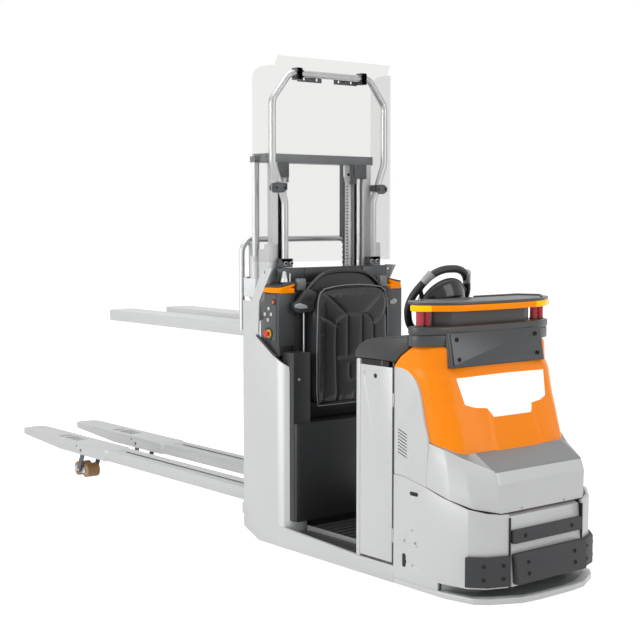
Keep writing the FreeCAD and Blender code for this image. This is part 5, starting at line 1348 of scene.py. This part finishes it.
@dataclass
class BackRest:
    """The leaning pad with its seams, the bow, the hip wings and the covers below."""

    face_x: float = 0.884
    back_x: float = 0.777
    # Height, half width
    widths: tuple = ((0.694, 0.219), (0.760, 0.226), (0.940, 0.226), (1.126, 0.222), (1.200, 0.217),
                     (1.236, 0.206), (1.256, 0.180), (1.267, 0.114), (1.272, 0.040))
    # The bow's middle line in (y, z), from the top down the left side
    bow_line: tuple = ((0.0, 1.338), (0.060, 1.336), (0.094, 1.333), (0.126, 1.327), (0.150, 1.318),
                       (0.173, 1.305), (0.207, 1.279), (0.232, 1.256), (0.244, 1.236))
    # Low height, high height, half width and X of the front of the panel behind the pad
    panel_rows: tuple = ((0.620, 1.284, 0.298, 0.775), (1.266, 1.356, 0.353, 0.720))
    # Outlines in (y, z) of a hip wing, of the soft top on its face and of the lip below that
    wing: tuple = ((0.332, 1.190), (0.306, 1.203), (0.270, 1.250), (0.249, 1.257), (0.214, 1.240),
                   (0.228, 1.168), (0.238, 1.148), (0.306, 1.143), (0.328, 1.163))
    wing_top: tuple = ((0.298, 1.204), (0.267, 1.243), (0.250, 1.248), (0.228, 1.238), (0.246, 1.201))
    wing_lip: tuple = ((0.328, 1.184), (0.304, 1.192), (0.268, 1.180), (0.264, 1.166), (0.302, 1.164),
                       (0.324, 1.170))
    # Seams on the face, each a line of (y, z), drawn for the right side and mirrored
    seams: tuple = (
        ((-0.176, 1.231), (-0.055, 1.133), (0.0, 1.133)),
        ((-0.210, 1.131), (-0.112, 1.077)),
        ((-0.055, 1.133), (-0.088, 1.119), (-0.110, 1.098), (-0.119, 1.071), (-0.122, 0.970), (-0.118, 0.860),
         (-0.112, 0.700)),
        ((-0.046, 1.128), (-0.046, 0.925)),
        ((-0.118, 0.920), (0.0, 0.924)),
        ((-0.035, 0.882), (-0.035, 0.829), (-0.027, 0.811), (0.0, 0.806)),
    )

    def build(self) -> None:
        """Makes the pad, the wings and what is below."""
        self.panel()
        self.pad()
        self.bow()
        self.wings()
        self.columns()

    def pad(self) -> None:
        """A crowned pad, blown up as cloth, then drawn in along its seams."""
        shape = Shape()
        left = [(-half, z) for z, half in self.widths]
        ring = left + [(-y, z) for y, z in reversed(left)]
        depth = self.face_x - self.back_x - 7 * MM
        # The core is 2% wider and 1% less high than the table
        verts = shape.prism([Vector((self.back_x, y * 1.02, 0.99 * (z - 0.97) + 0.97)) for y, z in ring],
                            (depth, 0, 0))
        front = [edge for edge in shape.bm.edges if set(edge.verts) <= set(verts)
                 and min(vert.co.x for vert in edge.verts) > self.back_x + depth / 2]
        shape.bevel(front, 0.008, 3)
        pad = shape.release("leaning_pad")
        remesh = pad.modifiers.new("voxels", "REMESH")
        remesh.mode = "VOXEL"
        remesh.voxel_size = 0.006
        self.bake(pad)
        self.blow_up(pad)
        finer = pad.modifiers.new("finer", "SUBSURF")
        finer.levels = finer.render_levels = 1
        self.bake(pad)
        for vert in pad.data.vertices:
            if vert.co.x > self.face_x - 0.045:
                gap = min(self.gap_to(line, -abs(vert.co.y), vert.co.z) for line in self.seams)
                vert.co.x -= 4.5 * MM * math.exp(-gap / (5 * MM)) + 1.5 * MM * math.exp(-gap / (22 * MM))
        pad.data.shade_smooth()
        pad.data.materials.append(LEATHER.build())
        pad.data.materials.append(LEATHER_SIDE_PAINTED_LIGHT.build())
        # The side faces take the lighter leather: painted light
        for polygon in pad.data.polygons:
            if abs(polygon.normal.y) > 0.75 and polygon.center.x < self.face_x - 0.018:
                polygon.material_index = 1
        settle(pad, "chassis", ("back_pad",))
        self.piping()

    @staticmethod
    def bake(piece: bpy.types.Object) -> None:
        """Turns a piece's modifiers into its own mesh.

        Args:
            piece: The piece.
        """
        bpy.context.view_layer.update()
        seen = piece.evaluated_get(bpy.context.evaluated_depsgraph_get())
        mesh = bpy.data.meshes.new_from_object(seen)
        piece.modifiers.clear()
        piece.data = mesh

    def blow_up(self, pad: bpy.types.Object) -> None:
        """Swells the pad as cloth under a little pressure.

        Args:
            pad: The pad, already made of small even faces.
        """
        start = [vert.co.copy() for vert in pad.data.vertices]
        cloth = pad.modifiers.new("swell", "CLOTH")
        cloth.settings.use_pressure = True
        cloth.settings.uniform_pressure_force = 4.0
        cloth.settings.effector_weights.gravity = 0.0
        cloth.settings.quality = 4
        scene = bpy.context.scene
        for step in range(1, 21):
            scene.frame_set(step)
        self.bake(pad)
        scene.frame_set(1)
        for vert, before in zip(pad.data.vertices, start):
            move = vert.co - before
            if move.length > 10 * MM:
                vert.co = before + move.normalized() * 10 * MM
            vert.co.x = max(vert.co.x, self.back_x)

    @staticmethod
    def gap_to(line: tuple, y: float, z: float) -> float:
        """The distance from a place on the face to a seam.

        Args:
            line: The seam's (y, z) points.
            y: Sideways place.
            z: Height.

        Returns:
            Metres to the nearest run.
        """
        best = 1.0
        for (y0, z0), (y1, z1) in zip(line, line[1:]):
            run_y, run_z = y1 - y0, z1 - z0
            share = ((y - y0) * run_y + (z - z0) * run_z) / (run_y * run_y + run_z * run_z)
            share = min(max(share, 0.0), 1.0)
            best = min(best, math.hypot(y - y0 - run_y * share, z - z0 - run_z * share))
        return best

    def panel(self) -> None:
        """The dark panel behind the pad: a deep lower part and a wider thin upper part."""
        shape, ears, grooves = Shape(), Shape(), Shape()
        for low, high, half, front in self.panel_rows:
            shape.block((0.690, -half, low), (front, half, high), 5 * MM)
        shape.piece("panel_moulding", BLACK_PLASTIC, "chassis", ("back_panel",))
        ears.both_sides((0.718, 0.190, 1.288), (0.7225, 0.351, 1.3545), 1.5 * MM)
        # The grooves beside the ears are near black: painted shade
        grooves.both_sides((0.719, 0.186, 1.288), (0.7215, 0.189, 1.355))
        ears.piece("panel_ears", PANEL_GREY)
        grooves.piece("panel_grooves", HOLLOW_SHADE)

    def bow(self) -> None:
        """A smooth handle over the pad with a dark web inside it."""
        shape, web = Shape(), Shape()
        left = [(-y, z) for y, z in self.bow_line]
        line = list(reversed(left)) + [(y, z) for y, z in self.bow_line[1:]]
        shape.tube([Vector((0.804, y, z)) for y, z in line], 9.5 * MM, 20)
        shape.piece("bow_handle", GLOSS_BLACK, "chassis", ("pad_bow",), 40.0)
        web.prism([Vector((0.790, y, z)) for y, z in line], (0.008, 0, 0))
        web.piece("bow_web", BLACK_PLASTIC)

    def piping(self) -> None:
        """Piping round the pad's face, light grey as a painted highlight on its rim."""
        shape = Shape()
        ring = [(half * 1.012, z) for z, half in self.widths]
        ring += [(-y, z) for y, z in reversed(ring)]
        shape.loop([Vector((self.face_x - 0.014, y, z)) for y, z in ring], 2.6 * MM, 12)
        shape.piece("pad_piping", PIPING_PAINTED_HIGHLIGHT, "chassis", (), 60.0)

    def wings(self) -> None:
        """The two hip supports: wedge shaped wings on thin posts, swept back as they leave the pad."""
        shape, lips, tops = Shape(), Shape(), Shape()

        def front(y: float) -> float:
            """X of the wing's face at a distance from the middle.

            Args:
                y: The distance.

            Returns:
                X in metres.
            """
            return 0.824 + (0.332 - y) * 0.25

        verts = shape.prism([Vector((front(y), -y, z)) for y, z in self.wing], (-0.032, 0, 0))
        shape.soften(verts, 6 * MM, 3, 30.0)
        verts = tops.prism([Vector((front(y) - 3 * MM, -y, z)) for y, z in self.wing_top], (6.5 * MM, 0, 0))
        tops.soften(verts, 1 * MM)
        # The lips are light grey: a painted highlight along the glossy wings' lower edge
        verts = lips.prism([Vector((front(y) - 3 * MM, -y, z)) for y, z in self.wing_lip], (8 * MM, 0, 0))
        lips.soften(verts, 3 * MM, 3)
        for made in (shape, lips, tops):
            made.mirror()
        shape.piece("hip_wings", BLACK_PLASTIC, "chassis", ("hip_supports",))
        lips.piece("hip_lips_painted_highlight", RING_GREY)
        tops.piece("hip_tops", RING_RUBBER)
        posts, slots = Shape(), Shape()
        for sign in (1, -1):
            posts.bar((0.806, sign * 0.258, 0.940), (0.806, sign * 0.258, 1.170), 4.5 * MM, 20)
        # The slots behind the posts are near black: painted shade
        slots.both_sides((0.780, 0.228, 0.780), (0.7815, 0.252, 1.190))
        posts.piece("hip_posts", STEEL)
        slots.piece("hip_slots", HOLLOW_SHADE)

    def columns(self) -> None:
        """A bolt on each column beside the pad, and the pods' faces that close the gap to the towers."""
        faces, bolts = Shape(), Shape()
        for sign in (1, -1):
            screw(bolts, (0.873, sign * 0.340, 0.831), (1, 0, 0), 7 * MM, 4 * MM)
        faces.both_sides((0.780, 0.300, 0.985), (0.7865, 0.397, 1.242), 2 * MM)
        faces.piece("pod_faces", PANEL_GREY)
        bolts.piece("column_bolts", ZINC)


@dataclass
class Pods:
    """Control pods: switch panel, lamp with its cap, and the small parts beside them."""

    side: float = 0.392
    # X, Y, height of the lamp's foot, height of its top, all round the lamp
    lamp: tuple = ((0.646, 0.366, 1.240, 1.268), (0.646, 0.386, 1.240, 1.268), (0.655, 0.397, 1.240, 1.268),
                   (0.776, 0.397, 1.240, 1.270), (0.797, 0.380, 1.246, 1.273), (0.800, 0.308, 1.272, 1.287),
                   (0.780, 0.308, 1.272, 1.287), (0.774, 0.370, 1.246, 1.273))

    def build(self) -> None:
        """Makes each part of the pods."""
        self.lamps()
        self.panel()
        self.stop_button()
        self.small_parts()

    def ring_of(self, share: float, lift: float = 0.0, inset: float = 0.0) -> list:
        """The lamp's outline at a share of its height.

        Args:
            share: 0 at the foot and 1 at the top.
            lift: Metres added to the height.
            inset: Metres that the outline is drawn in at the sides.

        Returns:
            The corners on the truck's right side.
        """
        return [Vector((x, -y + inset, low + (high - low) * share + lift)) for x, y, low, high in self.lamp]

    def lamps(self) -> None:
        """Amber lens round two sides of each pod, under a thin dark cap."""
        lens, caps = Shape(), Shape()
        low, high = self.ring_of(0.0), self.ring_of(1.0)
        verts = lens.prism(low, (0, 0, 0.01))
        for vert, corner in zip(verts[len(low):], high):
            vert.co = corner
        lens.soften(verts, 3.5 * MM, 3, 30.0)
        # The cap reaches over the whole top of the pod
        outline = self.ring_of(1.0, -5.5 * MM, -1.2 * MM)[:6] + [Vector((0.662, -0.308, 1.281))]
        caps.prism(outline, (0, 0, 11 * MM), 1.5 * MM)
        core = ((0.660, -0.388), (0.780, -0.388), (0.780, -0.312), (0.668, -0.312))
        caps.prism([Vector((x, y, 1.236)) for x, y in core], (0, 0, 0.034))
        for shape in (lens, caps):
            shape.mirror()
        lens.piece("pod_lenses", AMBER, "chassis", ("pod_lamps",))
        caps.piece("pod_caps", BLACK_PLASTIC)

    def panel(self) -> None:
        """A switch panel let into the right pod, with four white keys and an orange one."""
        plate, keys, marks, orange = Shape(), Shape(), Shape(), Shape()
        corners = ((0.672, 1.232), (0.762, 1.232), (0.762, 1.012), (0.740, 1.012), (0.672, 1.060))
        plate.prism([Vector((x, -self.side + 1 * MM, z)) for x, z in corners], (0, -2.5 * MM, 0), 0.8 * MM)
        for x, z in ((0.708, 1.163), (0.678, 1.135), (0.727, 1.136), (0.702, 1.108)):
            keys.bar((x, -self.side - 1 * MM, z), (x, -self.side - 5 * MM, z), 8.5 * MM, 24, round_by=1 * MM)
            marks.bar((x, -self.side - 4.8 * MM, z), (x, -self.side - 5.4 * MM, z), 3 * MM, 3)
        orange.block((0.738, -self.side - 6 * MM, 1.188), (0.753, -self.side, 1.204), 1.2 * MM)
        # A dark frame round the orange key
        marks.block((0.735, -self.side - 3 * MM, 1.184), (0.760, -self.side, 1.210), 1 * MM)
        plate.piece("switch_panel", PANEL_GREY)
        keys.piece("white_keys", BUTTON_WHITE, "chassis", ("pod_buttons",))
        marks.piece("key_marks", BLACK_BOLT)
        orange.piece("orange_key", BUTTON_ORANGE)

    def stop_button(self) -> None:
        """The red mushroom button on its yellow disc, in a dark round seat."""
        seat, disc, cap = Shape(), Shape(), Shape()
        foot = (0.706, -self.side - 1 * MM, 1.042)
        seat.spun([(0.0, 0.5 * MM), (0.024, 0.5 * MM), (0.026, 4 * MM), (0.030, 4 * MM), (0.032, 0.0)],
                  foot, -Y_AXIS, 40)
        disc.spun([(0.0, 4 * MM), (0.020, 4 * MM), (0.021, 3 * MM), (0.021, 0.0)], foot, -Y_AXIS, 36)
        cap.spun([(0.0, 25 * MM), (0.010, 24.5 * MM), (0.015, 22 * MM), (0.017, 19 * MM), (0.015, 17 * MM),
                  (0.009, 15 * MM), (0.009, 3 * MM)], foot, -Y_AXIS, 36)
        seat.piece("stop_seat", BLACK_PLASTIC)
        disc.piece("stop_disc", BUTTON_YELLOW)
        cap.piece("stop_cap", BUTTON_RED)

    def small_parts(self) -> None:
        """Bright horn on the cap, grey blocks of the bow, and the lip along the tower's slope."""
        horn, blocks, lips = Shape(), Shape(), Shape()
        horn.spun([(0.0, 0.052), (0.006, 0.051), (0.009, 0.047), (0.018, 0.004), (0.019, 0.0)],
                  (0.752, -0.334, 1.290), Z_AXIS, 32)
        horn.bar((0.765, -0.310, 1.290), (0.765, -0.310, 1.332), 4 * MM, 16)
        blocks.both_sides((0.776, 0.238, 1.250), (0.800, 0.288, 1.306), 4 * MM)
        slope = ((0.616, 1.036), (0.760, 0.948), (0.776, 0.948), (0.776, 0.940), (0.757, 0.936),
                 (0.612, 1.024))
        for low in (0.384, -0.4025):
            lips.prism([Vector((x, low, z)) for x, z in slope], (0, 0.0185, 0), 1.5 * MM)
        horn.piece("bright_horn", STEEL)
        blocks.piece("bow_blocks", MAST_GREY)
        lips.piece("tower_lips", BLACK_PLASTIC)


@dataclass
class Battery:
    """Door lock, the recess under the lid with its back in painted shade, and its divider."""

    side: float = 0.400

    def build(self) -> None:
        """Makes the small parts of both battery doors."""
        holes, rims, dividers, feet = Shape(), Shape(), Shape(), Shape()
        for sign in (1, -1):
            out = Y_AXIS * sign
            holes.bar(Vector((1.489, sign * (self.side - 3 * MM), 0.912)),
                      Vector((1.489, sign * (self.side + 0.4 * MM), 0.912)), 10 * MM, 32)
            rims.spun([(10 * MM, 0.0), (10 * MM, 1.2 * MM), (11.5 * MM, 1.2 * MM), (12 * MM, 0.0)],
                      Vector((1.489, sign * self.side, 0.912)), out, 32)
        dividers.both_sides((1.518, 0.380, 0.955), (1.531, 0.396, 0.981), 1 * MM)
        for low in (0.380, -0.396):
            feet.block((1.404, low, 0.955), (1.571, low + 4 * MM, 0.980))
        # The lock's hole and the recess's backs are near black: painted shade
        holes.piece("lock_holes", HOLLOW_SHADE, "chassis")
        rims.piece("lock_rims", ZINC, "chassis")
        dividers.piece("recess_dividers", ANTHRACITE)
        feet.piece("recess_shade_backs", HOLLOW_SHADE)


@dataclass
class Guard:
    """Clamps, bolts and drilled plates of the guard tube."""

    tube_x: float = 0.690
    waist_y: float = 0.325
    waist_z: float = 1.742

    def build(self) -> None:
        """Makes the eight sided waist clamps and the bolts of every clamp."""
        waists, bolts, washers = Shape(), Shape(), Shape()
        for sign in (1, -1):
            ring = []
            for step in range(8):
                turn = math.pi / 4 * (step + 0.5)
                ring.append(Vector((self.tube_x - 0.020, sign * self.waist_y + 0.040 * math.cos(turn),
                                    self.waist_z + 0.026 * math.sin(turn))))
            waists.prism(ring, (0.044, 0, 0), 3 * MM)
            for side in (-1, 1):
                at = (self.tube_x + 0.024, sign * self.waist_y + side * 0.024, self.waist_z)
                bolts.bar(at, (at[0] + 4 * MM, at[1], at[2]), 7 * MM, 6, round_by=0.8 * MM)
            for y, z in ((0.295, 1.377), (0.259, 1.377)):
                washers.bar((0.711, sign * y, z), (0.714, sign * y, z), 10 * MM, 28, round_by=0.8 * MM)
                screw(bolts, (0.714, sign * y, z), (1, 0, 0), 6.5 * MM, 4 * MM)
            for y in (0.186, 0.218):
                for z in (2.276, 2.304):
                    screw(bolts, (0.712, sign * y, z), (1, 0, 0), 4.5 * MM, 2.5 * MM)
        waists.piece("waist_clamps", ANTHRACITE)
        bolts.piece("guard_bolts", BLACK_BOLT)
        washers.piece("guard_washers", WHITE)


@dataclass
class Mast:
    """Blocks under the crossbeam, the drilled strip, rails and rods between the mast's uprights."""

    place_x: float = 0.600
    beam_z: float = 1.866
    foot_z: float = 0.640

    def build(self) -> None:
        """Makes the parts that travel with the inner mast."""
        body = body_with("mast_crossbeam")
        x, top, foot = self.place_x, self.beam_z, self.foot_z
        dark, plate, rails, holes, white = Shape(), Shape(), Shape(), Shape(), Shape()
        # Ahead of the uprights, so that the carriage and the outer mast pass behind them
        ahead = x + 0.0652
        for low, high in ((-0.305, -0.238), (0.184, 0.260)):
            dark.block((ahead - 1.5 * MM, low, 1.793), (ahead + 1.5 * MM, high, top), 0.8 * MM)
        dark.block((ahead - 1.5 * MM, 0.083, 1.500), (ahead + 1.5 * MM, 0.107, top), 0.8 * MM)
        plate.block((x - 4 * MM, 0.171, 1.781), (x + 3 * MM, 0.231, top), 2 * MM)
        # The drilled holes of the plate and of the strip are near black discs: painted shade
        holes.bar((x + 2 * MM, 0.193, 1.816), (x + 3.4 * MM, 0.193, 1.816), 8 * MM, 24)
        plate.block((x - 3 * MM, 0.174, foot), (x, 0.198, 1.781), 0.8 * MM)
        plate.block((x - 3 * MM, -0.295, foot), (x, -0.280, 1.790), 0.8 * MM)
        for step in range(int((1.770 - foot) / 0.016)):
            z = foot + 0.012 + step * 0.016
            for y in (0.181, 0.192):
                holes.bar((x - 0.5 * MM, y, z), (x + 0.3 * MM, y, z), 3.2 * MM, 8)
            # Link plates of the chain on the right, two by two
            if z > 1.25:
                for y in (-0.2965, -0.2835):
                    holes.bar((ahead - 1.5 * MM, y, z), (ahead + 1.5 * MM, y, z), 8.4 * MM, 10)
        holes.block((ahead - 1 * MM, -0.303, 1.250), (ahead + 0.5 * MM, -0.277, 1.785))
        rails.block((x - 9 * MM, 0.200, foot), (x, 0.227, 1.785), 4 * MM)
        holes.block((x - 6 * MM, 0.240, foot), (x, 0.257, 1.793), 1 * MM)
        white.bar((ahead - 8 * MM, 0.213, 1.240), (ahead - 8 * MM, 0.213, 1.793), 8 * MM, 24)
        rails.bar((x - 6 * MM, 0.298, foot), (x - 6 * MM, 0.298, 1.793), 9.5 * MM, 24)
        dark.piece("mast_blocks", ANTHRACITE, body)
        plate.piece("mast_strips", WHITE, body)
        rails.piece("mast_rails", STEEL, body)
        holes.piece("mast_holes", BLACK_BOLT, body)
        white.piece("mast_white_rod", CHROME, body)


@dataclass
class Arms:
    """Slots, pins and rollers of the load arms."""

    def build(self) -> None:
        """Makes the small parts of both arms and dresses the four rollers."""
        slots = Shape()
        for sign in (1, -1):
            slots.block((-0.965, sign * 0.200 - 4 * MM, 0.2146), (0.420, sign * 0.200 + 4 * MM, 0.2154))
            for y in (0.110, 0.280):
                out = 1 if y > 0.2 else -1
                face = sign * (y + out * 0.3 * MM)
                slots.bar((-1.424, face, 0.197), (-1.424, sign * (y - out * 2 * MM), 0.197), 6 * MM, 20)
        # The slots and pin holes are near black strips and discs: painted shade
        slots.piece("arm_slots", HOLLOW_SHADE, "load_section")
        for place, x in (("front", -1.4915), ("rear", -1.3985)):
            for side, sign in (("left", 1), ("right", -1)):
                body = "roller_body_%s_%s" % (place, side)
                rings, axles = Shape(), Shape()
                for y in (0.156, 0.234):
                    out = Y_AXIS * (1 if y > 0.195 else -1) * sign
                    centre = Vector((x, sign * y, 0.0425))
                    profile = [(0.012, -1 * MM), (0.012, 1.5 * MM), (0.024, 1.5 * MM), (0.026, -1 * MM)]
                    rings.spun(profile, centre, out, 40)
                    axles.bar(centre - out * MM, centre + out * 4 * MM, 9 * MM, 28, round_by=1.5 * MM)
                rings.piece("roller_rings_%s_%s" % (place, side), CREAM, body)
                axles.piece("roller_axles_%s_%s" % (place, side), BLACK_BOLT, body)


def main() -> None:
    """Builds the studio, dresses the nodes and adds each sub-assembly's pieces."""
    logging.basicConfig(level=logging.INFO, format="%(name)s: %(message)s")
    Studio().build()
    NodeDress().build()
    for part in (Hood(), DriveEnd(), Console(), SteeringSet(), BackRest(), Pods(), Battery(), Guard(), Mast(),
                 Arms()):
        part.build()


if __name__ == "__main__":
    main()
